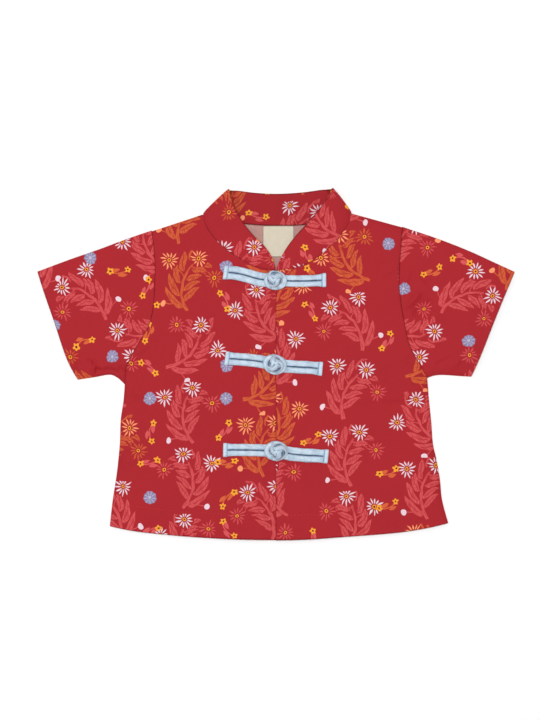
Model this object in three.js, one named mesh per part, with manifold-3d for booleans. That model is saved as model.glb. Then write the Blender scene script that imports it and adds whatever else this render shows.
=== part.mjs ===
// A child's short-sleeved tang shirt, lying buttoned on a flat surface with its front up.
// Millimetres. +X runs to the wearer's left, +Y from the hem to the collar, +Z up from the surface.
// The origin is on the surface, under the middle of the shirt's outline.
import * as THREE from 'three';
import Module from 'manifold-3d';

const wasm = await Module();
wasm.setup();

// Cloth and how it lies
const wall = 1.2; // thickness of a cloth panel
const seam = 0.3; // gap between sewn or touching pieces
const loft = 2.0; // how far the front rides over the back
const mostLift = 2.4; // the front never lifts further than this
const rollWidth = 16; // the front rolls down to the seams over this width
const hemEase = { reach: 30, share: 0.45 }; // the open hem settles nearer the back
const underlap = 15; // the right front runs on under the left front
const underlapDip = { from: -15, to: -4 }; // and dips to it between these widths
const underlapTurn = [8, 0.5]; // where the top edge of the underlap has points
const neckGap = 0.45; // the band leans over the edge that it is sewn to
const steps = { side: 14, armhole: 14, opening: 16, neck: 12, backNeck: 12, hem: 16, rim: 16 };
const frontColumns = { count: 18, crowding: 1.5 }; // closer together at the front opening

// The collar band
const band = { wall: 1.4, foldNeck: 1.1, foldTop: 3.2, rows: 5, sunk: 0.2 };

// The label sewn under the back of the collar
const label = { width: 29, length: 29, wall: 1.0, x: 2.2, top: 131.2 };

// Frog fastenings: two runs of satin cord, a loop round a knotted button
const cord = { width: 6.0, height: 2.6, pitch: 3.3, flare: 1.0, flareReach: 10, sides: 8, squareness: 0.7 };
const ring = { radius: 8.6, width: 4.3, height: 4.4, lift: 2.4 };
const stem = { width: 5.0, height: 1.7, from: 13.5, to: 2 };
const button = { radius: 5.3, relief: 0.6, rise: 4.4, seat: 0.6 };
const knot = { turns: 3, waves: 4, middle: 22, swing: 50, strand: 0.36 }; // middle and swing in degrees
const runsEnd = { loop: 11.5, button: 11.6 }; // distance of the runs' inner ends from the button
const ringOpening = 38; // half of the ring's open angle, where the runs come in, in degrees

const frontTop = 2 * wall + seam + loft; // top of the front where it lies level
const frogSeat = frontTop + seam;

// Turns lines of numbers into rows with named columns.
const table = (names, lines) =>
  lines.map((line) => Object.fromEntries(names.map((name, i) => [name, line[i]])));

// Outline points, from the hem upwards or from the body outwards.
const outline = {
  right: {
    side: table(['x', 'y'], [
      [-157.7, -153.7], [-154.9, -129.0], [-151.1, -104.3], [-148.2, -75.8],
      [-147.3, -53.0], [-144.6, -34.0], [-143.5, -18.8],
    ]),
    armhole: table(['x', 'y'], [
      [-143.5, -18.8], [-142.2, -5.0], [-138.3, 6.1], [-131.6, 17.4], [-122.6, 32.3],
      [-118.0, 45.0], [-115.6, 61.0], [-114.5, 87.9], [-115.6, 109.8], [-117.8, 126.1],
    ]),
    hem: table(['x', 'y'], [
      [0.0, -167.0], [-32.3, -166.2], [-72.2, -164.3], [-106.4, -161.5], [-134.9, -158.2],
      [-157.7, -153.7],
    ]),
    underarm: table(['x', 'y'], [
      [-143.5, -18.8], [-150.5, -12.8], [-158.1, -9.9], [-172.3, -12.2], [-188.1, -14.6],
    ]),
    sleeveTop: table(['x', 'y'], [
      [-117.8, 126.1], [-142.5, 117.7], [-168.2, 108.0], [-196.0, 98.3], [-226.1, 86.9],
    ]),
    cuff: table(['x', 'y'], [
      [-188.1, -14.6], [-198.6, 5.5], [-209.6, 38.2], [-218.4, 63.5], [-226.1, 86.9],
    ]),
  },
  left: {
    side: table(['x', 'y'], [
      [163.4, -150.8], [157.6, -129.0], [155.6, -110.0], [152.8, -92.9], [149.0, -75.8],
      [147.4, -55.8], [145.4, -35.9], [143.5, -13.1],
    ]),
    armhole: table(['x', 'y'], [
      [143.5, -13.1], [134.9, 2.1], [126.4, 18.3], [121.4, 40.1], [117.8, 61.0],
      [116.4, 82.0], [117.6, 104.7], [119.7, 129.9],
    ]),
    hem: table(['x', 'y'], [
      [0.0, -167.0], [30.4, -166.2], [70.3, -163.4], [98.8, -161.3], [121.6, -159.0],
      [144.4, -155.2], [163.4, -150.8],
    ]),
    underarm: table(['x', 'y'], [
      [143.5, -13.1], [150.1, -10.8], [158.9, -10.1], [175.3, -11.2], [185.3, -11.8],
    ]),
    sleeveTop: table(['x', 'y'], [
      [119.7, 129.9], [153.9, 118.4], [182.4, 107.2], [207.1, 95.8], [226.1, 86.9],
    ]),
    cuff: table(['x', 'y'], [
      [185.3, -11.8], [194.8, 9.7], [205.2, 36.2], [215.6, 62.0], [226.1, 86.9],
    ]),
  },
};

// The collar's sewn edge (neck) and free edge (top), from the front opening to the fold at the side.
const collarFront = {
  right: table(['neckX', 'neckY', 'topX', 'topY', 'topZ'], [
    [-0.9, 90.1, -1.1, 92.0, 3.9], [-8.0, 91.0, -4.0, 101.7, 4.1], [-21.5, 94.4, -11.6, 112.6, 4.4],
    [-35.8, 102.3, -20.7, 121.2, 4.9], [-47.5, 110.6, -29.8, 132.2, 5.6],
    [-57.0, 119.4, -35.4, 141.1, 6.2], [-64.0, 128.6, -39.2, 149.2, 6.7],
    [-67.6, 136.6, -42.4, 157.6, 7.1],
  ]),
  left: table(['neckX', 'neckY', 'topX', 'topY', 'topZ'], [
    [0.9, 90.1, 1.1, 92.0, 3.9], [8.6, 91.0, 5.6, 102.6, 4.1], [22.4, 93.8, 11.4, 112.2, 4.4],
    [36.4, 100.8, 18.6, 121.4, 4.9], [48.6, 110.2, 28.8, 132.6, 5.6],
    [57.8, 119.6, 38.2, 143.4, 6.2], [64.8, 129.2, 44.8, 152.2, 6.7],
    [69.4, 137.2, 50.2, 160.4, 7.1],
  ]),
};
const collarBack = table(['neckX', 'neckY', 'topX', 'topY'], [
  [-52.0, 138.7, -36.6, 164.6], [-29.5, 133.6, -19.4, 162.5], [0.0, 131.8, 1.8, 161.6],
  [28.5, 133.0, 25.4, 163.0], [52.0, 138.7, 43.4, 165.4],
]);
const collarFold = {
  right: { neckX: -69.4, neckY: 143.7, topX: -45.4, topY: 166.0 },
  left: { neckX: 72.0, neckY: 144.4, topX: 54.2, topY: 167.0 },
};

// Folds in the front layer: a ridge or trough along a line, with its half width and height.
const folds = table(['x0', 'y0', 'x1', 'y1', 'width', 'height'], [
  [-172, 6, -170, -9, 5, 1.2], [-196, 22, -184, -6, 7, 1.0], [-142, -16, -128, 6, 6, -1.2],
  [-170, -6, -146, 14, 8, 1.0], [-205, 62, -160, 84, 11, 0.6], [120, 60, 150, 96, 9, 1.2],
  [130, 46, 162, 76, 8, -0.8], [190, 18, 160, 4, 8, 0.8], [140, -12, 124, 10, 6, -1.2],
  [-138, -26, -98, -44, 10, 0.8], [54, -38, 138, -31, 7, 0.7], [-92, -52, -99, -150, 14, 0.9],
  [-60, -118, -55, -160, 10, 0.6], [104, -60, 112, -150, 14, 0.9], [70, -112, 66, -158, 9, 0.6],
  [-74, 126, -106, 92, 8, 0.8], [74, 126, 104, 94, 8, 0.8], [-100, 40, -92, -20, 13, -0.6],
  [98, 30, 92, -16, 13, -0.6],
]);

const frogs = table(['name', 'x', 'y', 'loopX', 'loopY', 'loopBow', 'strapX', 'strapY', 'strapBow'], [
  ['top', -1.0, 79.6, -49.8, 87.0, -1.6, 47.6, 80.4, 1.2],
  ['middle', -2.0, -0.8, -48.0, 5.6, 2.0, 44.2, -4.3, 0.8],
  ['bottom', 0.6, -82.2, -50.2, -81.3, -0.4, 49.6, -87.6, -0.6],
]);

// Curves

const vector2 = (row) => new THREE.Vector2(row.x, row.y);
const smooth = (t) => {
  const c = Math.min(1, Math.max(0, t));
  return c * c * (3 - 2 * c);
};

// A smooth line through points; the rows of a table are spaced evenly along it.
const lineThrough = (points) => new THREE.SplineCurve(points);
const outlineOf = (rows) => lineThrough(rows.map(vector2));

// Points of a line moved sideways, to the left of its direction when the distance is positive.
function movedAside(points, distance) {
  return points.map((point, i) => {
    const ahead = points[Math.min(points.length - 1, i + 1)];
    const way = ahead.clone().sub(points[Math.max(0, i - 1)]).normalize();
    return point.clone().add(new THREE.Vector2(-way.y, way.x).multiplyScalar(distance));
  });
}

function distanceTo(line, x, y) {
  let best = Infinity;
  for (let i = 0; i + 1 < line.length; i += 1) {
    const a = line[i];
    const dx = line[i + 1].x - a.x;
    const dy = line[i + 1].y - a.y;
    const along = ((x - a.x) * dx + (y - a.y) * dy) / (dx * dx + dy * dy);
    const t = Math.min(1, Math.max(0, along));
    best = Math.min(best, Math.hypot(x - a.x - t * dx, y - a.y - t * dy));
  }
  return best;
}

// How the front layer lies

const closedEdges = ['right', 'left'].flatMap((side) => {
  const fold = collarFold[side];
  const tip = outline[side].armhole.at(-1);
  return [
    outlineOf(outline[side].side).getPoints(steps.rim),
    outlineOf(outline[side].underarm).getPoints(steps.rim),
    outlineOf(outline[side].sleeveTop).getPoints(steps.rim),
    [new THREE.Vector2(fold.neckX, fold.neckY), vector2(tip)],
  ];
});
const hemEdges = ['right', 'left'].map((side) => outlineOf(outline[side].hem).getPoints(steps.rim));

function foldHeight(x, y) {
  let height = 0;
  for (const fold of folds) {
    const dx = fold.x1 - fold.x0;
    const dy = fold.y1 - fold.y0;
    const length = Math.hypot(dx, dy);
    const along = ((x - fold.x0) * dx + (y - fold.y0) * dy) / length ** 2;
    const across = ((x - fold.x0) * dy - (y - fold.y0) * dx) / length;
    const fade = smooth(4 * along) * smooth(4 * (1 - along));
    height += fold.height * fade * Math.exp(-((across / fold.width) ** 2));
  }
  return height;
}

// The height of the front layer's underside over the surface of the back.
function lift(x, y) {
  const nearest = Math.min(...closedEdges.map((edge) => distanceTo(edge, x, y)));
  const roll = Math.sin((Math.PI / 2) * Math.min(1, nearest / rollWidth));
  const fromHem = Math.min(...hemEdges.map((edge) => distanceTo(edge, x, y)));
  const overlapped = smooth(2 - Math.abs(x) / (2 * underlap));
  const ease = hemEase.share + (1 - hemEase.share) * Math.max(overlapped, smooth(fromHem / hemEase.reach));
  return Math.min(mostLift, Math.max(0, roll * (loft * ease + foldHeight(x, y))));
}

const frontUnder = (x, y) => wall + seam + lift(x, y);

// Under the left front, the right front dips by a wall and a gap.
const dipDepth = wall + seam + 0.05;
const dip = (x) => dipDepth * smooth((x - underlapDip.from) / (underlapDip.to - underlapDip.from));

// Solids

function meshOf(name, geometry, material) {
  const mesh = new THREE.Mesh(geometry, material);
  mesh.name = name;
  return mesh;
}

function signedVolume(points, faces) {
  let sum = 0;
  for (const [a, b, c] of faces) sum += points[a].dot(points[b].clone().cross(points[c]));
  return sum / 6;
}

function geometryOf(points, faces) {
  const outward = signedVolume(points, faces) > 0;
  const index = faces.flatMap(([a, b, c]) => (outward ? [a, b, c] : [a, c, b]));
  const geometry = new THREE.BufferGeometry();
  const flat = points.flatMap((p) => [p.x, p.y, p.z]);
  geometry.setAttribute('position', new THREE.Float32BufferAttribute(flat, 3));
  geometry.setIndex(index);
  geometry.computeVertexNormals();
  return geometry;
}

// A wall between two grids of points, closed round its four edges.
function wallBetween(outer, inner) {
  const rows = outer.length;
  const columns = outer[0].length;
  const points = [...outer.flat(), ...inner.flat()];
  const outside = (r, c) => r * columns + c;
  const inside = (r, c) => rows * columns + r * columns + c;
  const faces = [];
  const quad = (a, b, c, d) => faces.push([a, b, d], [b, c, d]);
  for (let r = 0; r + 1 < rows; r += 1) {
    for (let c = 0; c + 1 < columns; c += 1) {
      quad(outside(r, c), outside(r, c + 1), outside(r + 1, c + 1), outside(r + 1, c));
      quad(inside(r, c), inside(r + 1, c), inside(r + 1, c + 1), inside(r, c + 1));
    }
  }
  for (let c = 0; c + 1 < columns; c += 1) {
    quad(outside(0, c + 1), outside(0, c), inside(0, c), inside(0, c + 1));
    const last = rows - 1;
    quad(outside(last, c), outside(last, c + 1), inside(last, c + 1), inside(last, c));
  }
  for (let r = 0; r + 1 < rows; r += 1) {
    quad(outside(r, 0), outside(r + 1, 0), inside(r + 1, 0), inside(r, 0));
    const last = columns - 1;
    quad(outside(r + 1, last), outside(r, last), inside(r, last), inside(r + 1, last));
  }
  return geometryOf(points, faces);
}

// Rings of points joined one after another and capped at both ends.
function tubeThrough(rings) {
  const sides = rings[0].length;
  const points = rings.flat();
  const faces = [];
  for (let r = 0; r + 1 < rings.length; r += 1) {
    for (let i = 0; i < sides; i += 1) {
      const a = r * sides + i;
      const b = r * sides + ((i + 1) % sides);
      faces.push([a, b, b + sides], [a, b + sides, a + sides]);
    }
  }
  const end = (rings.length - 1) * sides;
  for (let i = 1; i + 1 < sides; i += 1) {
    faces.push([0, i + 1, i], [end, end + i, end + i + 1]);
  }
  return geometryOf(points, faces);
}

// A grid of points filling four edges; inner and outer have a point for each row.
function patch(inner, outer, low, high, shares) {
  const last = inner.length - 1;
  return inner.map((start, row) => shares.map((s) => {
    const t = row / last;
    const across = start.clone().multiplyScalar(1 - s).addScaledVector(outer[row], s);
    const lowEdge = inner[0].clone().multiplyScalar(1 - s).addScaledVector(outer[0], s);
    const highEdge = inner[last].clone().multiplyScalar(1 - s).addScaledVector(outer[last], s);
    return across
      .addScaledVector(low.getPoint(s).sub(lowEdge), 1 - t)
      .addScaledVector(high.getPoint(s).sub(highEdge), t);
  }));
}

const share = (i, n) => i / (n - 1);
const span = (from, to, n) => Array.from({ length: n }, (_, i) => from + (to - from) * share(i, n));

// The collar's turn at the side of the neck, from its front layer (angle 90) to its back layer.
function collarFoldAt(side, angle) {
  const half = band.wall / 2;
  const fold = collarFold[side];
  const neck = new THREE.Vector2(fold.neckX, fold.neckY);
  const top = new THREE.Vector2(fold.topX, fold.topY);
  const way = top.clone().sub(neck).normalize();
  const out = new THREE.Vector2(-way.y, way.x).multiplyScalar(side === 'right' ? 1 : -1);
  const turned = (p, radius) => {
    const shift = radius * Math.cos(angle) - radius - half;
    const z = half + radius * (1 + Math.sin(angle));
    return new THREE.Vector3(p.x + out.x * shift, p.y + out.y * shift, z);
  };
  return { neck: turned(neck, band.foldNeck), top: turned(top, band.foldTop) };
}

// The same station as a row of the collar's tables.
function foldStart(side) {
  const { neck, top } = collarFoldAt(side, Math.PI / 2);
  return { neckX: neck.x, neckY: neck.y, topX: top.x, topY: top.y, topZ: top.z };
}

// The back of the collar, from the right turn to the left one.
function backNeck(x, y) {
  const rows = [foldStart('right'), ...collarBack, foldStart('left')];
  return lineThrough(rows.map((row) => new THREE.Vector2(row[x], row[y])));
}

// Body

// The sewn edge of the collar, from the front opening to the side, and on round the back.
const collarEdge = (side, x, y) => {
  const rows = [...collarFront[side], foldStart(side)];
  return lineThrough(rows.map((row) => new THREE.Vector2(row[x], row[y])));
};

function frontPanel(side) {
  const edges = outline[side];
  const outwards = side === 'right' ? 1 : -1;
  const neckline = movedAside(
    collarEdge(side, 'neckX', 'neckY').getPoints(steps.neck), outwards * neckGap,
  );
  const edgeX = side === 'right' ? underlap : 0;
  const turn = side === 'right' ? underlapTurn : [];
  const topY = neckline[0].y - 0.5;
  const opening = span(edges.hem[0].y, topY, steps.opening - turn.length)
    .map((y) => new THREE.Vector2(edgeX, y));
  const inner = [...opening, ...turn.map((x) => new THREE.Vector2(x, topY)), ...neckline];
  const outer = [
    ...outlineOf(edges.side).getPoints(steps.side).slice(0, -1),
    ...outlineOf(edges.armhole).getPoints(steps.armhole),
  ];
  const low = outlineOf([{ x: edgeX, y: edges.hem[0].y }, ...edges.hem.slice(1)]);
  const high = lineThrough([inner.at(-1), outer.at(-1)]);
  const shares = span(0, 1, frontColumns.count).map((s) => s ** frontColumns.crowding);
  const under = patch(inner, outer, low, high, shares).map((row) => row.map((p) => {
    const drop = side === 'right' ? dip(p.x) : 0;
    return new THREE.Vector3(p.x, p.y, frontUnder(p.x, p.y) - drop);
  }));
  const over = under.map((row) => row.map((p) => p.clone().setZ(p.z + wall)));
  return wallBetween(over, under);
}

// The back is one flat panel, from hem to shoulders, cut round the neck.
function backPanel() {
  const neckline = movedAside(backNeck('neckX', 'neckY').getPoints(steps.backNeck), -neckGap);
  const up = (side) => [
    ...outlineOf(outline[side].side).getPoints(steps.side).slice(0, -1),
    ...outlineOf(outline[side].armhole).getPoints(steps.armhole),
  ];
  const hemOf = (side) => outlineOf(outline[side].hem).getPoints(steps.hem);
  const edge = [
    ...up('right'), ...neckline, ...up('left').reverse().slice(0, -1),
    ...hemOf('left').reverse().slice(0, -1), ...hemOf('right').slice(0, -1),
  ];
  return new THREE.ExtrudeGeometry(new THREE.Shape(edge), { depth: wall, bevelEnabled: false });
}

// Sleeves

const sleeveColumns = 11;
const sleeveFold = { outer: 1.65, turns: 3 }; // outside radius of the fold along the top

// A sleeve is one piece, folded along its top and sewn under the arm.
function sleeve(side) {
  const edges = outline[side];
  const outwards = side === 'right' ? 1 : -1;
  const armhole = movedAside(outlineOf(edges.armhole).getPoints(steps.armhole), outwards * seam);
  const cuff = outlineOf(edges.cuff).getPoints(steps.armhole);
  const low = outlineOf([armhole[0], ...edges.underarm.slice(1)]);
  const high = outlineOf([armhole.at(-1), ...edges.sleeveTop.slice(1)]);
  const flat = patch(armhole, cuff, low, high, span(0, 1, sleeveColumns));
  const rim = flat.at(-1);
  const below = flat.at(-2);
  const innerRadius = sleeveFold.outer - wall;
  const fold = rim.map((point, i) => {
    const out = point.clone().sub(below[i]).normalize();
    const centre = point.clone().addScaledVector(out, -sleeveFold.outer);
    return Array.from({ length: sleeveFold.turns + 2 }, (_, k) => {
      const angle = Math.PI / 2 - (Math.PI * k) / (sleeveFold.turns + 1);
      return (radius) => new THREE.Vector3(
        centre.x + out.x * radius * Math.cos(angle),
        centre.y + out.y * radius * Math.cos(angle),
        sleeveFold.outer + radius * Math.sin(angle),
      );
    });
  });
  const rows = flat.slice(0, -1);
  const topLayer = (rise) => rows.map((row) => row.map(
    (p) => new THREE.Vector3(p.x, p.y, frontUnder(p.x, p.y) + rise),
  ));
  const backLayer = (z) => rows.map((row) => row.map((p) => new THREE.Vector3(p.x, p.y, z))).reverse();
  const turned = (radius) => Array.from({ length: sleeveFold.turns + 2 }, (_, k) => (
    fold.map((arc) => arc[k](radius))
  ));
  const outer = [...topLayer(wall), ...turned(sleeveFold.outer), ...backLayer(0)];
  const inner = [...topLayer(0), ...turned(innerRadius), ...backLayer(wall)];
  return wallBetween(outer, inner);
}

// Collar: a band that lies inner side up at the back, turns at each side and comes forward.

const foldTurns = 4;

function collarStations() {
  const half = band.wall / 2;
  const frontStations = (side) => {
    const heights = lineThrough([...collarFront[side], foldStart(side)].map(
      (row, i) => new THREE.Vector2(i, row.topZ),
    ));
    const neck = collarEdge(side, 'neckX', 'neckY').getPoints(steps.neck);
    const top = collarEdge(side, 'topX', 'topY').getPoints(steps.neck);
    const level = heights.getPoints(steps.neck);
    return neck.map((p, i) => {
      const sewn = frontUnder(p.x, p.y) + wall / 2 - band.sunk;
      const z = Math.max(half + 2 * band.foldNeck, sewn);
      return {
        neck: new THREE.Vector3(p.x, p.y, z),
        top: new THREE.Vector3(top[i].x, top[i].y, level[i].y),
      };
    }).slice(0, -1);
  };
  const foldStations = (side) => Array.from({ length: foldTurns + 1 }, (_, i) => {
    const angle = Math.PI / 2 - (Math.PI * i) / foldTurns;
    return collarFoldAt(side, angle);
  });
  const neck = backNeck('neckX', 'neckY').getPoints(steps.backNeck).slice(1, -1);
  const top = backNeck('topX', 'topY').getPoints(steps.backNeck).slice(1, -1);
  const back = neck.map((p, i) => ({
    neck: new THREE.Vector3(p.x, p.y, half),
    top: new THREE.Vector3(top[i].x, top[i].y, half),
  }));
  return [
    ...frontStations('right'), ...foldStations('right'), ...back,
    ...foldStations('left').reverse(), ...frontStations('left').reverse(),
  ];
}

function collar() {
  const stations = collarStations();
  const middle = stations.map(({ neck, top }) => span(0, 1, band.rows).map((t) => neck.clone().lerp(top, t)));
  const last = stations.length - 1;
  const normalAt = (i, j) => {
    const along = middle[Math.min(last, i + 1)][j].clone().sub(middle[Math.max(0, i - 1)][j]);
    const up = middle[i][Math.min(band.rows - 1, j + 1)].clone().sub(middle[i][Math.max(0, j - 1)]);
    return up.cross(along).normalize().multiplyScalar(band.wall / 2);
  };
  const outer = middle.map((row, i) => row.map((p, j) => p.clone().add(normalAt(i, j))));
  const inner = middle.map((row, i) => row.map((p, j) => p.clone().sub(normalAt(i, j))));
  return wallBetween(outer, inner);
}

function labelPiece() {
  const geometry = new THREE.BoxGeometry(label.width, label.length, label.wall);
  const z = wall + seam + label.wall / 2;
  return geometry.translate(label.x, label.top - label.length / 2, z);
}

// Frog fastenings

// A flattened round section, standing across the way the cord runs.
function cordRing(point, way, width, height) {
  const side = new THREE.Vector3(-way.y, way.x, 0).normalize();
  return Array.from({ length: cord.sides }, (_, i) => {
    const angle = (2 * Math.PI * (i + 0.5)) / cord.sides;
    const across = Math.cos(angle);
    const rise = Math.sin(angle);
    const fill = (v) => Math.sign(v) * Math.abs(v) ** cord.squareness;
    return point.clone()
      .addScaledVector(side, (fill(across) * width) / 2)
      .add(new THREE.Vector3(0, 0, (fill(rise) * height) / 2));
  });
}

function cordSweep(stations) {
  const last = stations.length - 1;
  return tubeThrough(stations.map((station, i) => {
    const ahead = stations[Math.min(last, i + 1)].point;
    const behind = stations[Math.max(0, i - 1)].point;
    return cordRing(station.point, ahead.clone().sub(behind), station.width, station.height);
  }));
}

// The middle line of one half of a fastening, bowed sideways, by distance from the button.
function halfLine(frog, endX, endY, bow) {
  const middle = new THREE.Vector2(frog.x, frog.y);
  const end = new THREE.Vector2(endX, endY);
  const length = middle.distanceTo(end);
  const way = end.clone().sub(middle).normalize();
  const side = new THREE.Vector2(-way.y, way.x);
  return {
    length,
    at: (distance, aside) => {
      const bend = aside + bow * Math.sin(Math.PI * Math.min(1, distance / length));
      return middle.clone().addScaledVector(way, distance).addScaledVector(side, bend);
    },
  };
}

// A run of cord, from its end, through its flare, to its inner end.
function runStations(line, sign, inner) {
  const distances = [
    ...span(line.length, line.length - cord.flareReach, 3),
    ...span(line.length - 2 * cord.flareReach, inner, 3),
  ];
  return distances.map((distance) => {
    const flare = cord.flare * smooth((distance - line.length + cord.flareReach) / cord.flareReach);
    const p = line.at(distance, sign * (cord.pitch + flare / 2));
    const z = frogSeat + cord.height / 2;
    return { point: new THREE.Vector3(p.x, p.y, z), width: cord.width + flare, height: cord.height };
  });
}

// One cord: in along one run, round the button and out along the other.
function loopHalf(frog) {
  const line = halfLine(frog, frog.loopX, frog.loopY, frog.loopBow);
  const ringZ = frogSeat + ring.height / 2;
  const around = span(ringOpening, 360 - ringOpening, 17).map((degrees) => {
    const angle = THREE.MathUtils.degToRad(degrees);
    const p = line.at(ring.radius * Math.cos(angle), ring.radius * Math.sin(angle));
    const z = ringZ + ring.lift * smooth(0.5 - Math.cos(angle));
    return { point: new THREE.Vector3(p.x, p.y, z), width: ring.width, height: ring.height };
  });
  const into = runStations(line, 1, runsEnd.loop);
  const outOf = runStations(line, -1, runsEnd.loop).reverse();
  return cordSweep([...into, ...around, ...outOf]);
}

const solidOf = (geometry) => new wasm.Manifold(new wasm.Mesh({
  numProp: 3,
  vertProperties: geometry.attributes.position.array,
  triVerts: new Uint32Array(geometry.index.array),
}));

function geometryFrom(solid) {
  const mesh = solid.getMesh();
  const geometry = new THREE.BufferGeometry();
  geometry.setAttribute('position', new THREE.Float32BufferAttribute(mesh.vertProperties, 3));
  geometry.setIndex(new THREE.BufferAttribute(mesh.triVerts, 1));
  geometry.computeVertexNormals();
  return geometry;
}

// The cord's way round the button, on a ball of radius 1: a closed knot of three turns with four waves.
const knotSteps = 96;
const knotLine = Array.from({ length: knotSteps }, (_, i) => {
  const turn = (2 * Math.PI * i) / knotSteps;
  const latitude = THREE.MathUtils.degToRad(knot.middle + knot.swing * Math.sin(knot.waves * turn));
  const longitude = knot.turns * turn;
  return new THREE.Vector3(
    Math.cos(latitude) * Math.cos(longitude), Math.cos(latitude) * Math.sin(longitude), Math.sin(latitude),
  );
});

// The button: a ball with the turns of its knot raised on it.
function ballGeometry(frog) {
  const ball = new THREE.SphereGeometry(1, 20, 12);
  ball.rotateX(Math.PI / 2);
  const pole = new Map();
  const points = [];
  const place = ball.attributes.position;
  const index = [];
  for (let i = 0; i < place.count; i += 1) {
    const n = new THREE.Vector3().fromBufferAttribute(place, i).normalize();
    const key = n.toArray().map((v) => Math.round(v * 1e4) || 0).join();
    if (!pole.has(key)) {
      const nearest = Math.min(...knotLine.map((k) => k.angleTo(n)));
      const raised = Math.sqrt(Math.max(0, 1 - (nearest / knot.strand) ** 2));
      const radius = button.radius + button.relief * raised;
      pole.set(key, points.length);
      points.push(new THREE.Vector3(
        frog.x + n.x * radius, frog.y + n.y * radius,
        frogSeat + button.seat + button.rise * (1 + (n.z * radius) / (button.radius + button.relief)),
      ));
    }
    index.push(pole.get(key));
  }
  const faces = [];
  const order = ball.index.array;
  for (let i = 0; i < order.length; i += 3) {
    const [a, b, c] = [index[order[i]], index[order[i + 1]], index[order[i + 2]]];
    if (a !== b && b !== c && c !== a) faces.push([a, b, c]);
  }
  return geometryOf(points, faces);
}

// Two runs, the stem that passes under the loop, and the button, in one piece.
function buttonHalf(frog) {
  const line = halfLine(frog, frog.strapX, frog.strapY, frog.strapBow);
  const stemStations = span(stem.from, stem.to, 4).map((distance) => {
    const p = line.at(distance, 0);
    const z = frogSeat + stem.height / 2;
    return { point: new THREE.Vector3(p.x, p.y, z), width: stem.width, height: stem.height };
  });
  const parts = [
    cordSweep(runStations(line, 1, runsEnd.button)),
    cordSweep(runStations(line, -1, runsEnd.button)),
    cordSweep(stemStations),
    ballGeometry(frog),
  ];
  return geometryFrom(parts.map(solidOf).reduce((sum, part) => sum.add(part)));
}

// The shirt

const red = new THREE.MeshStandardMaterial({ color: 0xae2a30, roughness: 0.72, metalness: 0 });
const cream = new THREE.MeshStandardMaterial({ color: 0xd8d3bb, roughness: 0.8, metalness: 0 });
const satin = new THREE.MeshStandardMaterial({ color: 0xb9d2e4, roughness: 0.4, metalness: 0 });

const shirt = new THREE.Group();
shirt.add(
  meshOf('back', backPanel(), red),
  meshOf('front_right', frontPanel('right'), red),
  meshOf('front_left', frontPanel('left'), red),
  meshOf('sleeve_right', sleeve('right'), red),
  meshOf('sleeve_left', sleeve('left'), red),
  meshOf('collar', collar(), red),
  meshOf('label', labelPiece(), cream),
);
for (const frog of frogs) {
  shirt.add(
    meshOf(`frog_loop_${frog.name}`, loopHalf(frog), satin),
    meshOf(`frog_button_${frog.name}`, buttonHalf(frog), satin),
  );
}

export default shirt;
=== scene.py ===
import math
import bpy
import numpy as np
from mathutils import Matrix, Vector


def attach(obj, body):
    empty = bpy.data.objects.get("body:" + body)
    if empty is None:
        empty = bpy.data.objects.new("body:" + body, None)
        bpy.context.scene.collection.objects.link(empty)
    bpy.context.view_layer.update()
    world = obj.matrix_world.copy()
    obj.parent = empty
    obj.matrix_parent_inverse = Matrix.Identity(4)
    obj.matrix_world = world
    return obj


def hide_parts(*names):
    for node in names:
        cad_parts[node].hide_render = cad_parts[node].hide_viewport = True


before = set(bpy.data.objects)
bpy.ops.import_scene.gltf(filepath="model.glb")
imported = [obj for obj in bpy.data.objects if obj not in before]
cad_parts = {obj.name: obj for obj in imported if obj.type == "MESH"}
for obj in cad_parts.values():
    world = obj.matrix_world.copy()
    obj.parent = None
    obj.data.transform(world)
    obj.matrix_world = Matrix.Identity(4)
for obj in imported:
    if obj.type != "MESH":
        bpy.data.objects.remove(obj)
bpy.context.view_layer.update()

mm = 0.001
outwards = {"right": 1, "left": -1}  # the side of a line, from the hem upwards, that faces away from the body
rng = np.random.default_rng(7)

# Camera, straight above, framed as the photo

cameraPlan = {"pixel": 0.95, "middle": (-5.7, 4.0), "height": 2400.0, "columns": 540, "rows": 720, "sensor": 36.0}


def addCamera(plan):
    data = bpy.data.cameras.new("camera")
    data.sensor_fit = "VERTICAL"
    data.sensor_height = plan["sensor"]
    data.sensor_width = plan["sensor"] * plan["columns"] / plan["rows"]
    data.lens = plan["sensor"] * plan["height"] / (plan["pixel"] * plan["rows"])
    data.clip_end = 50
    camera = bpy.data.objects.new("camera", data)
    camera.location = (plan["middle"][0] * mm, plan["middle"][1] * mm, plan["height"] * mm)
    bpy.context.scene.collection.objects.link(camera)
    bpy.context.scene.camera = camera


addCamera(cameraPlan)
print("camera placed")

# Outlines, in millimetres, from the hem upwards or from the body outwards

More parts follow.
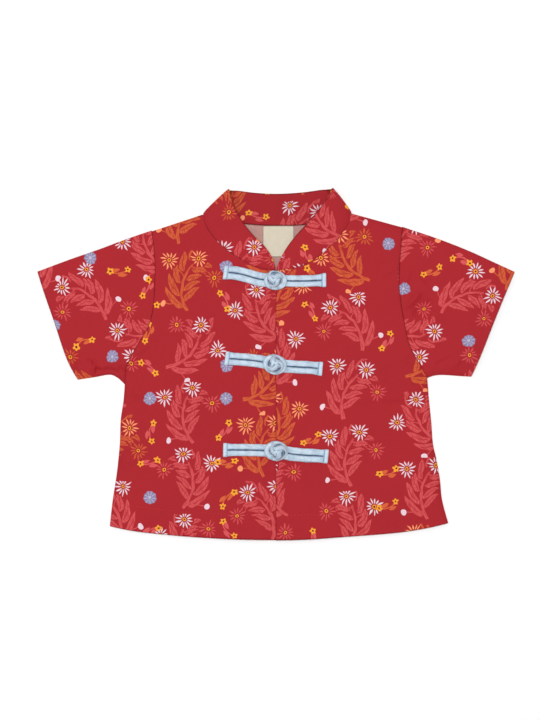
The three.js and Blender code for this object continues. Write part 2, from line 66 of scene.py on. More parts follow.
outline = {
    "right": {
        "side": [(-157.7, -153.7), (-154.9, -129.0), (-151.1, -104.3), (-148.2, -75.8),
                 (-147.3, -53.0), (-144.6, -34.0), (-143.5, -18.8)],
        "armhole": [(-143.5, -18.8), (-142.2, -5.0), (-138.3, 6.1), (-131.6, 17.4), (-122.6, 32.3),
                    (-118.0, 45.0), (-115.6, 61.0), (-114.5, 87.9), (-115.6, 109.8), (-117.8, 126.1)],
        "hem": [(0.0, -167.0), (-32.3, -166.2), (-72.2, -164.3), (-106.4, -161.5), (-134.9, -158.2),
                (-157.7, -153.7)],
        "underarm": [(-143.5, -18.8), (-150.5, -12.8), (-158.1, -9.9), (-172.3, -12.2), (-188.1, -14.6)],
        "sleeveTop": [(-117.8, 126.1), (-142.5, 117.7), (-168.2, 108.0), (-196.0, 98.3), (-226.1, 86.9)],
        "cuff": [(-188.1, -14.6), (-198.6, 5.5), (-209.6, 38.2), (-218.4, 63.5), (-226.1, 86.9)],
    },
    "left": {
        "side": [(163.4, -150.8), (157.6, -129.0), (155.6, -110.0), (152.8, -92.9), (149.0, -75.8),
                 (147.4, -55.8), (145.4, -35.9), (143.5, -13.1)],
        "armhole": [(143.5, -13.1), (134.9, 2.1), (126.4, 18.3), (121.4, 40.1), (117.8, 61.0),
                    (116.4, 82.0), (117.6, 104.7), (119.7, 129.9)],
        "hem": [(0.0, -167.0), (30.4, -166.2), (70.3, -163.4), (98.8, -161.3), (121.6, -159.0),
                (144.4, -155.2), (163.4, -150.8)],
        "underarm": [(143.5, -13.1), (150.1, -10.8), (158.9, -10.1), (175.3, -11.2), (185.3, -11.8)],
        "sleeveTop": [(119.7, 129.9), (153.9, 118.4), (182.4, 107.2), (207.1, 95.8), (226.1, 86.9)],
        "cuff": [(185.3, -11.8), (194.8, 9.7), (205.2, 36.2), (215.6, 62.0), (226.1, 86.9)],
    },
}
# collar rows: sewn edge x, y, free edge x, y, z
collarFront = {
    "right": [(-0.9, 90.1, -1.1, 92.0, 3.9), (-8.0, 91.0, -4.0, 101.7, 4.1), (-21.5, 94.4, -11.6, 112.6, 4.4),
              (-35.8, 102.3, -20.7, 121.2, 4.9), (-47.5, 110.6, -29.8, 132.2, 5.6),
              (-57.0, 119.4, -35.4, 141.1, 6.2), (-64.0, 128.6, -39.2, 149.2, 6.7),
              (-67.6, 136.6, -42.4, 157.6, 7.1)],
    "left": [(0.9, 90.1, 1.1, 92.0, 3.9), (8.6, 91.0, 5.6, 102.6, 4.1), (22.4, 93.8, 11.4, 112.2, 4.4),
             (36.4, 100.8, 18.6, 121.4, 4.9), (48.6, 110.2, 28.8, 132.6, 5.6),
             (57.8, 119.6, 38.2, 143.4, 6.2), (64.8, 129.2, 44.8, 152.2, 6.7),
             (69.4, 137.2, 50.2, 160.4, 7.1)],
}
collarBack = [(-52.0, 138.7, -36.6, 164.6), (-29.5, 133.6, -19.4, 162.5), (0.0, 131.8, 1.8, 161.6),
              (28.5, 133.0, 25.4, 163.0), (52.0, 138.7, 43.4, 165.4)]
collarFold = {"right": (-69.4, 143.7, -45.4, 166.0), "left": (72.0, 144.4, 54.2, 167.0)}
band = {"wall": 1.4, "foldNeck": 1.1, "foldTop": 1.7, "sideRise": 7.5, "sideReach": 13.0}

cloth = {
    "wall": 1.2,  # what a panel takes up in the stack
    "seam": 0.3,
    "loft": 2.0,
    "mostLift": 2.4,
    "roll": 16.0,  # the front rolls down to the closed edges over this width
    "hemReach": 30.0,
    "hemShare": 0.45,
    "underlap": 15.0,
    "thin": 0.55,  # the cloth itself
    "edgeDrop": 1.55,  # how far the front turns down at a closed edge
    "edgeWidth": 5.5,
    "edgeFlat": 0.3,
    "hemLine": 23.5,  # the hem's stitches lie this far in
    "creases": 2.3,  # how far the fine folds stand out
    "creaseReach": 7.0,  # and fade towards a closed edge over this width
    "seamDepth": 0.4,
    "shift": {"front_right": (11, 17), "front_left": (437, 120), "sleeve_right": (900, 0), "sleeve_left": (-900, 0),
              "collar": (1500, 40)},  # where each piece lies in the print
}
surface = {  # sizes, heights and seeds of what is small on the front
    "free": 12.0,  # and fades towards a closed edge over this width
    "uneven": [(0.2, 62, 3), (0.07, 21, 4)],  # height, size, seed
    "hem": (0.22, 0.28, 0.8),  # raised, then the groove's depth and half width
    "hemRipple": (0.10, 9, 5, 6),  # height, size, seed, reach
    "seam": (1.1, 4.0),  # half width, fade
    "pucker": {"share": 0.25, "pitch": 6.4, "sway": 2.2, "swayPitch": 13, "reach": 4.5, "fade": 6},
}

# folds: from x, y to x, y, half width, height
largeFolds = [
    (-172, 6, -170, -9, 5, 1.2), (-196, 22, -184, -6, 7, 1.0), (-142, -16, -128, 6, 6, -1.2),
    (-170, -6, -146, 14, 8, 1.0), (-205, 62, -160, 84, 11, 0.6), (120, 60, 150, 96, 9, 1.2),
    (130, 46, 162, 76, 8, -0.8), (190, 18, 160, 4, 8, 0.8), (140, -12, 124, 10, 6, -1.2),
    (-138, -26, -98, -44, 10, 0.8), (54, -38, 138, -31, 7, 0.7), (-92, -52, -99, -150, 14, 0.9),
    (-60, -118, -55, -160, 10, 0.6), (104, -60, 112, -150, 14, 0.9), (70, -112, 66, -158, 9, 0.6),
    (-74, 126, -106, 92, 8, 0.8), (74, 126, 104, 94, 8, 0.8), (-100, 40, -92, -20, 13, -0.6),
    (98, 30, 92, -16, 13, -0.6),
]
fineFolds = [
    (-172, 6, -174, -12, 1.8, 0.85), (-180, 6, -166, -9, 2.2, -0.75), (-198, 14, -190, -8, 2.4, 0.5),
    (-164, -4, -146, -9, 2.0, -0.7), (138, 86, 147, 74, 3.0, -0.7), (122, 66, 164, 38, 4.5, 0.5),
    (-140, -24, -112, -34, 3.0, 0.45), (-141, -32, -118, -44, 3.2, -0.35),
    (-133, 8, -120, 20, 2.4, 0.4), (-118, 50, -96, 44, 3.6, 0.35), (-116, 96, -92, 84, 3.4, 0.35),
    (122, 52, 138, 70, 2.8, 0.8), (128, 44, 150, 62, 2.6, -0.8), (119, 70, 128, 92, 2.6, 0.7),
    (150, -2, 168, 8, 2.2, -0.4), (166, -6, 178, 10, 2.6, 0.4), (141, -22, 116, -30, 3.2, 0.45),
    (144, -34, 100, -40, 3.0, -0.4), (58, -36, 120, -31, 2.4, 0.35), (118, 92, 96, 84, 3.4, 0.35),
    (-150, -96, -126, -88, 4.0, 0.35), (152, -104, 128, -96, 4.0, 0.35), (-30, 40, -34, -40, 6.0, 0.3),
    (38, 48, 34, -30, 6.0, 0.3), (-78, -20, -70, -70, 7.0, 0.35), (-124, -120, -118, -156, 6.0, 0.4),
    (132, -112, 138, -150, 6.0, 0.4), (24, -100, 20, -160, 7.0, 0.35), (-26, -112, -30, -162, 6.0, 0.3),
    (-190, 70, -176, 40, 6.0, 0.4), (196, 66, 186, 34, 6.0, 0.4), (-150, 60, -146, 24, 6.0, 0.35),
    (-174, -4, -158, -8, 1.7, -0.5), (-195, 13, -184, -4, 2.0, -0.5), (-132, 7, -144, -9, 1.8, -0.45),
    (-150, -2, -141, -12, 1.7, -0.45), (-146, 3, -136, -9, 1.6, 0.4), (128, -19, 146, -11, 1.8, -0.7),
    (126, -13, 143, -6, 1.9, 0.45),
]
backFolds = [  # on the underside, hollows that lift off the surface
    (-120, -140, -70, -120, 9, 0.5), (-40, -150, -52, -96, 8, 0.45), (96, -146, 118, -84, 10, 0.55),
    (20, -120, 70, -104, 7, 0.4), (-128, -60, -84, -48, 7, 0.5), (60, -52, 132, -60, 8, 0.55),
    (-60, -30, -10, -44, 9, 0.35), (-126, 6, -92, 30, 6, 0.5), (126, 10, 90, 32, 6, 0.5),
    (-30, 20, -22, 86, 10, 0.4), (44, 30, 36, 96, 9, 0.4), (-104, 84, -70, 118, 6, 0.45),
    (104, 86, 76, 120, 6, 0.45), (-84, 52, -60, 40, 5, 0.35), (70, 0, 92, -18, 5, 0.4),
]


def smooth(t):
    c = np.clip(t, 0, 1)
    return c * c * (3 - 2 * c)


def lineAt(points, t):  # a smooth line through points, which are spaced evenly along it
    p = np.array(points, float)
    n = len(p) - 1
    place = np.clip(np.asarray(t, float), 0, 1) * n
    i = np.minimum(place.astype(int), n - 1)
    w = (place - i)[:, None]
    a, b, c, d = p[np.maximum(i - 1, 0)], p[i], p[i + 1], p[np.minimum(i + 2, n)]
    v, u = (c - a) / 2, (d - b) / 2
    return (2 * b - 2 * c + v + u) * w**3 + (3 * c - 3 * b - 2 * v - u) * w**2 + v * w + b


def movedAside(points, distance):  # to the left of its direction
    way = np.gradient(points, axis=0)
    way /= np.linalg.norm(way, axis=1)[:, None]
    return points + distance * np.stack([-way[:, 1], way[:, 0]], 1)


def nearTo(line, x, y):  # distance to a line of points, and the length along it at the nearest place
    a, b = line[:-1], line[1:]
    d = b - a
    size = (d**2).sum(1)
    px, py = x[..., None] - a[:, 0], y[..., None] - a[:, 1]
    t = np.clip((px * d[:, 0] + py * d[:, 1]) / size, 0, 1)
    away = np.hypot(px - t * d[:, 0], py - t * d[:, 1])
    k = away.argmin(-1)
    start = np.concatenate([[0], np.sqrt(size).cumsum()[:-1]])
    along = start[k] + np.take_along_axis(t, k[..., None], -1)[..., 0] * np.sqrt(size)[k]
    return away.min(-1), along


def neckEnd(side):  # where the collar's sewn edge meets its fold
    neck, top = np.array(collarFold[side]).reshape(2, 2)
    way = (top - neck) / np.linalg.norm(top - neck)
    inwards = np.array([way[1], -way[0]]) * outwards[side]
    return neck + inwards * (band["foldNeck"] + band["wall"] / 2)


fine = np.linspace(0, 1, 41)
closedEdges = [lineAt(outline[side][edge], fine) for side in outline for edge in ("side", "underarm", "sleeveTop")]
closedEdges += [np.array([neckEnd(side), outline[side]["armhole"][-1]]) for side in outline]
hemEdge = np.concatenate([lineAt(outline["right"]["hem"], fine)[::-1], lineAt(outline["left"]["hem"], fine)[1:]])
armholeSeam = {side: [(movedAside(lineAt(outline[side]["armhole"], fine), outwards[side] * cloth["seam"] / 2),
                       cloth["seamDepth"])] for side in outline}


def foldsAt(folds, x, y):
    height = np.zeros_like(x)
    for x0, y0, x1, y1, width, high in folds:
        dx, dy = x1 - x0, y1 - y0
        length = math.hypot(dx, dy)
        along = ((x - x0) * dx + (y - y0) * dy) / length**2
        across = ((x - x0) * dy - (y - y0) * dx) / length
        height += high * smooth(4 * along) * smooth(4 * (1 - along)) * np.exp(-((across / width) ** 2))
    return height


def unevenness(x, y, size, seed):  # smooth and random, about -1 to 1
    waves = np.random.default_rng(seed)
    total = np.zeros_like(x)
    for _ in range(7):
        turn, phase, pitch = waves.uniform(0, math.tau), waves.uniform(0, math.tau), size * waves.uniform(0.7, 1.6)
        total += np.sin((x * math.cos(turn) + y * math.sin(turn)) * math.tau / pitch + phase)
    return total / 3.2


def liftAt(x, y):  # the same lie as the solids have
    nearest = np.min([nearTo(edge, x, y)[0] for edge in closedEdges], axis=0)
    roll = np.sin(math.pi / 2 * np.minimum(1, nearest / cloth["roll"]))
    fromHem = nearTo(hemEdge, x, y)[0]
    overlapped = smooth(2 - np.abs(x) / (2 * cloth["underlap"]))
    ease = cloth["hemShare"] + (1 - cloth["hemShare"]) * np.maximum(overlapped, smooth(fromHem / cloth["hemReach"]))
    lift = np.clip(roll * (cloth["loft"] * ease + foldsAt(largeFolds, x, y)), 0, cloth["mostLift"])
    return lift, nearest, fromHem


def rolledDown(distance):  # how far the cloth turns down near a closed edge
    near = np.clip(1 - (distance - cloth["edgeFlat"]) / cloth["edgeWidth"], 0, 1)
    return cloth["edgeDrop"] * (1 - np.sqrt(1 - near**2))


def frontTop(x, y, seams=()):  # the outer face of the front layer
    lift, nearest, fromHem = liftAt(x, y)
    z = 2 * cloth["wall"] + cloth["seam"] + lift
    uneven = sum(high * unevenness(x, y, size, seed) for high, size, seed in surface["uneven"])
    z += smooth(nearest / surface["free"]) * uneven
    z += cloth["creases"] * smooth(nearest / cloth["creaseReach"]) * foldsAt(fineFolds, x, y)
    hem = np.abs(fromHem - cloth["hemLine"])
    raised, deep, half = surface["hem"]
    z += raised * smooth((cloth["hemLine"] - fromHem) / 2) - deep * np.exp(-((hem / half) ** 2))
    high, size, seed, reach = surface["hemRipple"]
    z += high * unevenness(x, y, size, seed) * np.exp(-((hem / reach) ** 2))
    z -= rolledDown(nearest)
    half, fade = surface["seam"]
    plan = surface["pucker"]
    for seam, depth in seams:
        away, along = nearTo(seam, x, y)
        z -= depth * np.exp(-((away / half) ** 2)) * smooth(nearest / fade)
        wave = np.sin(along * math.tau / plan["pitch"] + plan["sway"] * np.sin(along / plan["swayPitch"]))
        z += plan["share"] * depth * (wave * np.exp(-away / plan["reach"])) * smooth(nearest / plan["fade"])
    return z


# Meshes

def newObject(name, verts, faces, uvs, slots, materials):
    mesh = bpy.data.meshes.new(name)
    mesh.from_pydata((np.asarray(verts) * mm).tolist(), [], [list(f) for f in faces])
    for material in materials:
        mesh.materials.append(material)
    mesh.polygons.foreach_set("material_index", np.asarray(slots, dtype=np.int32))
    mesh.polygons.foreach_set("use_smooth", [True] * len(faces))
    layer = mesh.uv_layers.new(name="cloth")
    corner = np.zeros(len(mesh.loops), dtype=np.int32)
    mesh.loops.foreach_get("vertex_index", corner)
    layer.data.foreach_set("uv", (np.asarray(uvs) * mm)[corner].ravel())
    mesh.validate()
    mesh.update()
    obj = bpy.data.objects.new(name, mesh)
    bpy.context.scene.collection.objects.link(obj)
    return obj


def gridFaces(rows, columns, start=0, closed=False):
    r, c = np.meshgrid(np.arange(rows - 1), np.arange(columns if closed else columns - 1), indexing="ij")
    n = (c + 1) % columns
    quads = np.stack([r * columns + c, r * columns + n, (r + 1) * columns + n, (r + 1) * columns + c], -1)
    return start + quads.reshape(-1, 4)


def volumeOf(verts, faces):
    v, f = np.asarray(verts), np.asarray(faces)
    total = (v[f[:, 0]] * np.cross(v[f[:, 1]], v[f[:, 2]])).sum()
    return total + (v[f[:, 0]] * np.cross(v[f[:, 2]], v[f[:, 3]])).sum()


def tubeFaces(verts, rows, sides, closed=False):  # facing outwards, with a cap on each open end
    faces = [list(f) for f in gridFaces(rows + closed, sides, closed=True) % (rows * sides)]
    quads = np.array(faces)
    if not closed:
        faces += [list(range(sides))[::-1], [(rows - 1) * sides + i for i in range(sides)]]
    return faces if volumeOf(verts, quads) >= 0 else [f[::-1] for f in faces]


def normalsOf(grid, row, column):  # turned so that the one at row, column points up
    n = np.cross(np.gradient(grid, axis=1), np.gradient(grid, axis=0))
    n /= np.maximum(np.linalg.norm(n, axis=2), 1e-9)[..., None]
    return -n if n[row, column, 2] < 0 else n


def clothShell(name, outer, inner, uv, rim, materials):
    # outer and inner are grids of points; the rim rounds the four edges and stands out by rim
    rows, columns = outer.shape[:2]
    verts = [outer.reshape(-1, 3), inner.reshape(-1, 3)]
    uvs = [uv.reshape(-1, 2)] * 2
    top = gridFaces(rows, columns)
    bottom = gridFaces(rows, columns, rows * columns)[:, ::-1]
    number = np.arange(rows * columns).reshape(rows, columns)
    loop = np.concatenate([number[0, :0:-1], number[:-1, 0], number[-1, :-1], number[:0:-1, -1]])
    r, c = np.divmod(loop, columns)
    out = np.zeros((len(loop), 3))
    for edge, step in ((r == 0, (-1, 0)), (r == rows - 1, (1, 0)), (c == 0, (0, -1)), (c == columns - 1, (0, 1))):
        way = outer[r[edge], c[edge]] - outer[r[edge] - step[0], c[edge] - step[1]]
        out[edge] += way / np.maximum(np.linalg.norm(way, axis=1), 1e-6)[:, None]
    out /= np.maximum(np.linalg.norm(out, axis=1), 1e-6)[:, None]
    middle, half = (outer[r, c] + inner[r, c]) / 2, (outer[r, c] - inner[r, c]) / 2
    start = 2 * rows * columns
    rings = [loop]
    for angle in (50, 0, -50):
        a = math.radians(angle)
        verts.append(middle + half * math.sin(a) + out * rim * math.cos(a))
        uvs.append(uv[r, c])
        rings.append(start + np.arange(len(loop)))
        start += len(loop)
    rings.append(loop + rows * columns)
    sides = [np.stack([a, b, np.roll(b, -1), np.roll(a, -1)], 1) for a, b in zip(rings[:-1], rings[1:])]
    faces = np.concatenate([top, bottom, *sides])
    slots = np.concatenate([np.zeros(len(top)), np.ones(len(bottom)), np.zeros(sum(len(s) for s in sides))])
    verts = np.concatenate(verts)
    if volumeOf(verts, faces) < 0:
        faces = faces[:, ::-1]
    return newObject(name, verts, faces, np.concatenate(uvs), slots, materials)


def patchGrid(inner, outer, low, high, t, s):  # fills four edges that share their corners
    t, s = t[:, None, None], s[None, :, None]
    across = inner[:, None] * (1 - s) + outer[:, None] * s
    lowEdge = inner[0] * (1 - s) + outer[0] * s
    highEdge = inner[-1] * (1 - s) + outer[-1] * s
    return across + (low[None] - lowEdge) * (1 - t) + (high[None] - highEdge) * t


def lay(obj, node, size):  # size is that of the flat cut, in millimetres, and is not used
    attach(obj, "root")
    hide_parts(node)
    size = size * mm


# Shader maths

class Val:
    tree = None

    def __init__(self, socket):
        self.socket = socket

    @staticmethod
    def node(kind, settings=None, inputs=None, output=0):
        node = Val.tree.nodes.new("ShaderNode" + kind)
        for name, value in (settings or {}).items():
            setattr(node, name, value)
        setInputs(node, inputs or {})
        return Val(node.outputs[output])

    def math(self, operation, *others, clamp=False):
        values = dict(enumerate((self, *others)))
        return Val.node("Math", {"operation": operation, "use_clamp": clamp}, values)

    def __add__(self, other):
        return self.math("ADD", other)

    def __sub__(self, other):
        return self.math("SUBTRACT", other)

    def __mul__(self, other):
        return self.math("MULTIPLY", other)

    def __truediv__(self, other):
        return self.math("DIVIDE", other)

    def __rsub__(self, other):
        return Val.node("Math", {"operation": "SUBTRACT"}, {0: other, 1: self})

    def __abs__(self):
        return self.math("ABSOLUTE")


def setInputs(node, inputs):
    for key, value in inputs.items():
        if isinstance(value, Val):
            Val.tree.links.new(value.socket, node.inputs[key])
        else:
            node.inputs[key].default_value = value


def point(x, y):
    return Val.node("CombineXYZ", None, {0: x, 1: y})


def splitVector(value):
    parts = Val.node("SeparateXYZ", None, {0: value})
    return [Val(output) for output in parts.socket.node.outputs]


def hyp(x, y):
    return Val.node("VectorMath", {"operation": "LENGTH"}, {0: point(x, y)}, 1)


def highest(a, b):
    return a.math("MAXIMUM", b)


def inside(distance, soft=0.16):  # 1 where the distance is below 0
    return distance.math("MULTIPLY_ADD", -1 / soft, 0.5, clamp=True)


def wrapped(value, half):
    return value.math("WRAP", half, -half)


def turned(x, y, angle):
    cos, sin = angle.math("COSINE"), angle.math("SINE")
    return x * cos - y * sin, x * sin + y * cos


def stroke(x, y, a, b, radius):  # a straight stroke with round ends
    dx, dy = b[0] - a[0], b[1] - a[1]
    size = dx * dx + dy * dy
    px, py = x - a[0], y - a[1]
    h = (px * (dx / size)).math("MULTIPLY_ADD", 1.0, py * (dy / size), clamp=True)
    return hyp(px - h * dx, py - h * dy) - radius


def noise(place, scale, detail=2.0, flat=False, output=0):
    settings = {"noise_dimensions": "2D" if flat else "3D"}
    return Val.node("TexNoise", settings, {"Vector": place, "Scale": scale, "Detail": detail}, output)


def chanceAt(column, row):  # three random values for each place of a repeat
    return splitVector(Val.node("TexWhiteNoise", {"noise_dimensions": "2D"}, {"Vector": point(column, row)}, 1))


def bump(height, strength, distance):
    return Val.node("Bump", None, {"Height": height, "Strength": strength, "Distance": distance})


def blend(factor, a, b):
    settings = {"data_type": "RGBA", "clamp_factor": True}
    return Val.node("Mix", settings, {0: factor, 6: a, 7: b}, 2)


def layered(ink, *layers):  # each layer is where it shows, and its colour
    for shown, colour in layers:
        ink = blend(shown, ink, colour)
    return ink


def linear(r, g, b):  # a colour from 0 to 255, as Blender keeps it
    def one(v):
        v /= 255
        return v / 12.92 if v <= 0.04045 else ((v + 0.055) / 1.055) ** 2.4
    return one(r), one(g), one(b), 1.0


inks = {
    "ground": linear(168, 27, 37),
    "coral": linear(212, 82, 84),
    "coralDeep": linear(190, 56, 62),
    "orange": linear(212, 94, 50),
    "orangeDeep": linear(184, 66, 38),
    "white": linear(232, 206, 216),
    "peach": linear(248, 152, 104),
    "lilac": linear(140, 130, 164),
    "lilacPale": linear(188, 180, 206),
    "gold": linear(243, 160, 44),
    "seed": linear(112, 18, 22),
}
# lengths are in millimetres of cloth before scale; shares are from 0 to 1
printPlan = {
    "scale": 1.25, "across": 58.0, "up": 50.0, "lean": 0.7, "wobble": 1.2,
    "warmShare": 0.5, "roundShare": 0.3, "bareShare": 0.35, "coralShare": 0.7,
}
branchPlan = {
    "bend": 30.0, "start": 4.0, "stem": 0.95, "taper": 0.014, "middle": 1.5, "half": 21.5,
    "stalks": [((1.0, 12.5), (-16.0, 9.5), 0.42), ((3.6, 4.0), (16.0, 13.0), 0.42),
               ((2.6, -17.0), (12.4, -19.0), 0.4)],  # from, to, half width
    "flowers": [(-3.4, 20.5), (-18.4, 9.0), (18.0, 13.5)], "bud": (14.2, 19.4, 1.9),
}
leafPlan = {
    "pitch": 4.2, "stagger": 2.0, "rake": (0.66, 0.03), "stretch": (1.2, 0.83), "middle": 8.0, "half": 6.3,
    "taper": 0.09, "wide": 3.05, "lowest": 1.0, "reach": 18.0, "rib": (0.26, 7.6, 4.6),
    "veins": (1.2, 1.15, 0.17, 4.4), "veinInk": 0.7,
}
daisyPlan = {  # shares of the radius
    "radius": 6.8, "petals": 12, "uneven": 0.07, "length": 0.36, "foot": 0.28, "slender": 0.08,
    "eye": 0.2, "heart": 0.1, "clear": 1.04,
}
roundPlan = {"lobes": 9, "radius": 5.0, "scallop": 1.5, "spoke": (0.24, 3.0, 1.3), "heart": 1.1}
twigPlan = {
    "bow": 0.05, "thick": 0.5, "half": 6.0, "blades": [(-2.4, 2.6), (2.4, -1.6)], "blade": (0.09, 1.35, 3.4),
    "bloom": (6.6, 2.2), "petals": 5.0, "uneven": 0.5, "radius": 2.2, "heart": 0.7,
}


def daisyMarks(x, y, plan):  # slender petals round a small eye
    radius = plan["radius"]
    r = hyp(x, y)
    turn = y.math("ARCTAN2", x)
    length = (turn * 3 + 0.8).math("SINE") * (radius * plan["uneven"]) + radius * plan["length"]
    spread = (r - radius * plan["foot"] - length) / length
    petal = abs(wrapped(turn, math.pi / plan["petals"]) * r) - (1.0 - spread * spread) * (radius * plan["slender"])
    return inside(petal), inside(r - radius * plan["eye"]), inside(r - radius * plan["heart"])


def leafMarks(away, along, plan):  # broad leaves, in turn on each side of the branch
    off = abs(away)
    course = along + away.math("SIGN") * plan["stagger"] - off * plan["rake"][0] - off * off * plan["rake"][1]
    step = wrapped(course, plan["pitch"])
    root = course - step
    lx, ly = off * plan["stretch"][0], abs(step) * plan["stretch"][1]
    spread = (lx - plan["middle"]) / (root * -plan["taper"] + plan["half"])
    leaf = highest(ly - (1.0 - spread * spread) * plan["wide"], abs(root - plan["lowest"]) - plan["reach"])
    thick, middle, half = plan["rib"]
    rib = highest(ly - thick, abs(lx - middle) - half)
    slant, pitch, thick, half = plan["veins"]
    veins = highest(abs(wrapped(lx - ly * slant, pitch)) - thick, abs(lx - plan["middle"]) - half)
    return inside(leaf), inside(rib), inside(veins)


def branchInk(x, y, plan):  # a flowering branch in each place of a half-drop repeat
    column = (x / plan["across"]).math("ROUND")
    drop = (column * 0.5).math("FRACT") * plan["up"]
    row = ((y + drop) / plan["up"]).math("ROUND")
    pick, pickSide, pickLean = chanceAt(column, row)
    u = (x - column * plan["across"]) * (pickSide.math("GREATER_THAN", 0.5) * 2 - 1)
    p, q = turned(u, y + drop - row * plan["up"], (pickLean - 0.5) * (2 * plan["lean"]))

    shape = branchPlan  # an arc that tapers upwards, with side shoots
    sx = p + (shape["bend"] - shape["start"])
    away = hyp(sx, q) - shape["bend"]
    along = q.math("ARCTAN2", sx) * shape["bend"]
    half = along * -shape["taper"] + shape["stem"]
    stem = highest(abs(away) - half, abs(along + shape["middle"]) - shape["half"])
    for stalk in shape["stalks"]:
        stem = stem.math("MINIMUM", stroke(p, q, *stalk))
    leaf, rib, veins = leafMarks(away, along, leafPlan)
    # three flowers, of which each place sees the nearest
    (cx, cy), *others = shape["flowers"]
    fx, fy = p - cx, q - cy
    best = hyp(fx, fy)
    second = hyp(p - others[0][0], q - others[0][1])
    for cx, cy in others:
        gx, gy = p - cx, q - cy
        far = hyp(gx, gy)
        closer = far.math("LESS_THAN", best)
        fx, fy = fx + closer * (gx - fx), fy + closer * (gy - fy)
        best = best.math("MINIMUM", far)
    petals, eye, heart = daisyMarks(fx, fy, daisyPlan)
    clear = inside(best - daisyPlan["radius"] * daisyPlan["clear"])
    cx, cy, radius = shape["bud"]
    bud = inside(hyp(p - cx, (q + cy) * 0.8) - radius)

    brush = noise(point(away * 1.6, along * 0.16), 0.8, 3.0, flat=True).math("MULTIPLY_ADD", 3.4, -1.15, clamp=True)
    warm = pick.math("GREATER_THAN", plan["warmShare"])
    coral, orange = [blend(brush, inks[name + "Deep"], inks[name]) for name in ("coral", "orange")]
    branch = blend(warm, coral, orange)
    deep = blend(warm, inks["coralDeep"], inks["orangeDeep"])
    bloom = blend(warm, inks["white"], inks["peach"])
    bloom = blend(second.math("LESS_THAN", best + 0.5), bloom, branch)
    return layered(
        inks["ground"], (leaf, branch), (leaf * veins * leafPlan["veinInk"], deep), (leaf * rib, inks["ground"]),
        (inside(stem), branch), (bud, bloom), (clear, inks["ground"]), (petals, bloom),
        (eye, inks["gold"]), (heart, inks["seed"]))


def betweenInk(x, y, ink, plan):  # rounds and twigs between the branches
    half = plan["up"] / 2
    lane = ((x / plan["across"]) - 0.5).math("ROUND")
    level = ((y - half / 2) / half).math("ROUND")
    kind, kindTurn, kindShow = chanceAt(lane + 0.37, level)
    a, b = turned(x - (lane + 0.5) * plan["across"], y - half / 2 - level * half, kindTurn * math.tau)
    r = hyp(a, b)
    scallop = wrapped(b.math("ARCTAN2", a), math.pi / roundPlan["lobes"])
    isRound = kind.math("LESS_THAN", plan["roundShare"])
    disc = inside(r - (abs(scallop) * -roundPlan["scallop"] + roundPlan["radius"])) * isRound
    thick, middle, reach = roundPlan["spoke"]
    spokes = highest(abs(scallop * r) - thick, abs(r - middle) - reach)

    twig = highest(abs(b - a * a * twigPlan["bow"]) - twigPlan["thick"], abs(a) - twigPlan["half"])
    lean, wide, reach = twigPlan["blade"]
    for cx, cy in twigPlan["blades"]:
        blade = abs(b - cy) - (1.0 - (a - cx) * (a - cx) * lean) * wide
        twig = twig.math("MINIMUM", highest(blade, abs(a - cx) - reach))
    isTwig = (1.0 - isRound) * kindShow.math("GREATER_THAN", plan["bareShare"])
    bx, by = abs(a) - twigPlan["bloom"][0], b - twigPlan["bloom"][1]
    far = hyp(bx, by)
    petal = (by.math("ARCTAN2", bx) * twigPlan["petals"]).math("COSINE") * twigPlan["uneven"] + twigPlan["radius"]
    twigInk = blend(kind.math("GREATER_THAN", plan["coralShare"]), inks["coral"], inks["orange"])
    return layered(
        ink, (disc, inks["lilac"]),
        (disc * highest(inside(spokes), inside(r - roundPlan["heart"])), inks["lilacPale"]),
        (isTwig * inside(twig), twigInk), (isTwig * inside(far - petal), inks["gold"]),
        (isTwig * inside(far - twigPlan["heart"]), inks["seed"]))


def printPattern(x, y, plan):  # x and y are millimetres of cloth
    shiftX, shiftY, _ = splitVector(noise(point(x, y), 0.13, 1.5, flat=True, output=1))
    x = x + (shiftX - 0.5) * (2 * plan["wobble"])
    y = y + (shiftY - 0.5) * (2 * plan["wobble"])
    return betweenInk(x, y, branchInk(x, y, plan), plan)


def printGroup():
    group = bpy.data.node_groups.new("shirt print", "ShaderNodeTree")
    group.interface.new_socket("Vector", in_out="INPUT", socket_type="NodeSocketVector")
    group.interface.new_socket("Color", in_out="OUTPUT", socket_type="NodeSocketColor")
    Val.tree = group
    start = group.nodes.new("NodeGroupInput")
    end = group.nodes.new("NodeGroupOutput")
    x, y, _ = splitVector(Val(start.outputs[0]))
    size = 1 / mm / printPlan["scale"]
    setInputs(end, {0: printPattern(x * size, y * size, printPlan)})
    return group


def newMaterial(name):
    material = bpy.data.materials.new(name)
    material.use_nodes = True
    Val.tree = material.node_tree
    shader = next(n for n in material.node_tree.nodes if n.type == "BSDF_PRINCIPLED")
    return material, shader


def clothUv():
    return Val.node("UVMap", {"uv_map": "cloth"})


cottonPlan = {
    "finish": {"Roughness": 0.6, "Specular IOR Level": 0.2, "Sheen Weight": 0.04, "Sheen Roughness": 0.4},
    "thread": 0.42, "weave": 0.35, "slub": 0.25, "crush": 0.9, "wrongSide": linear(181, 150, 144),
}


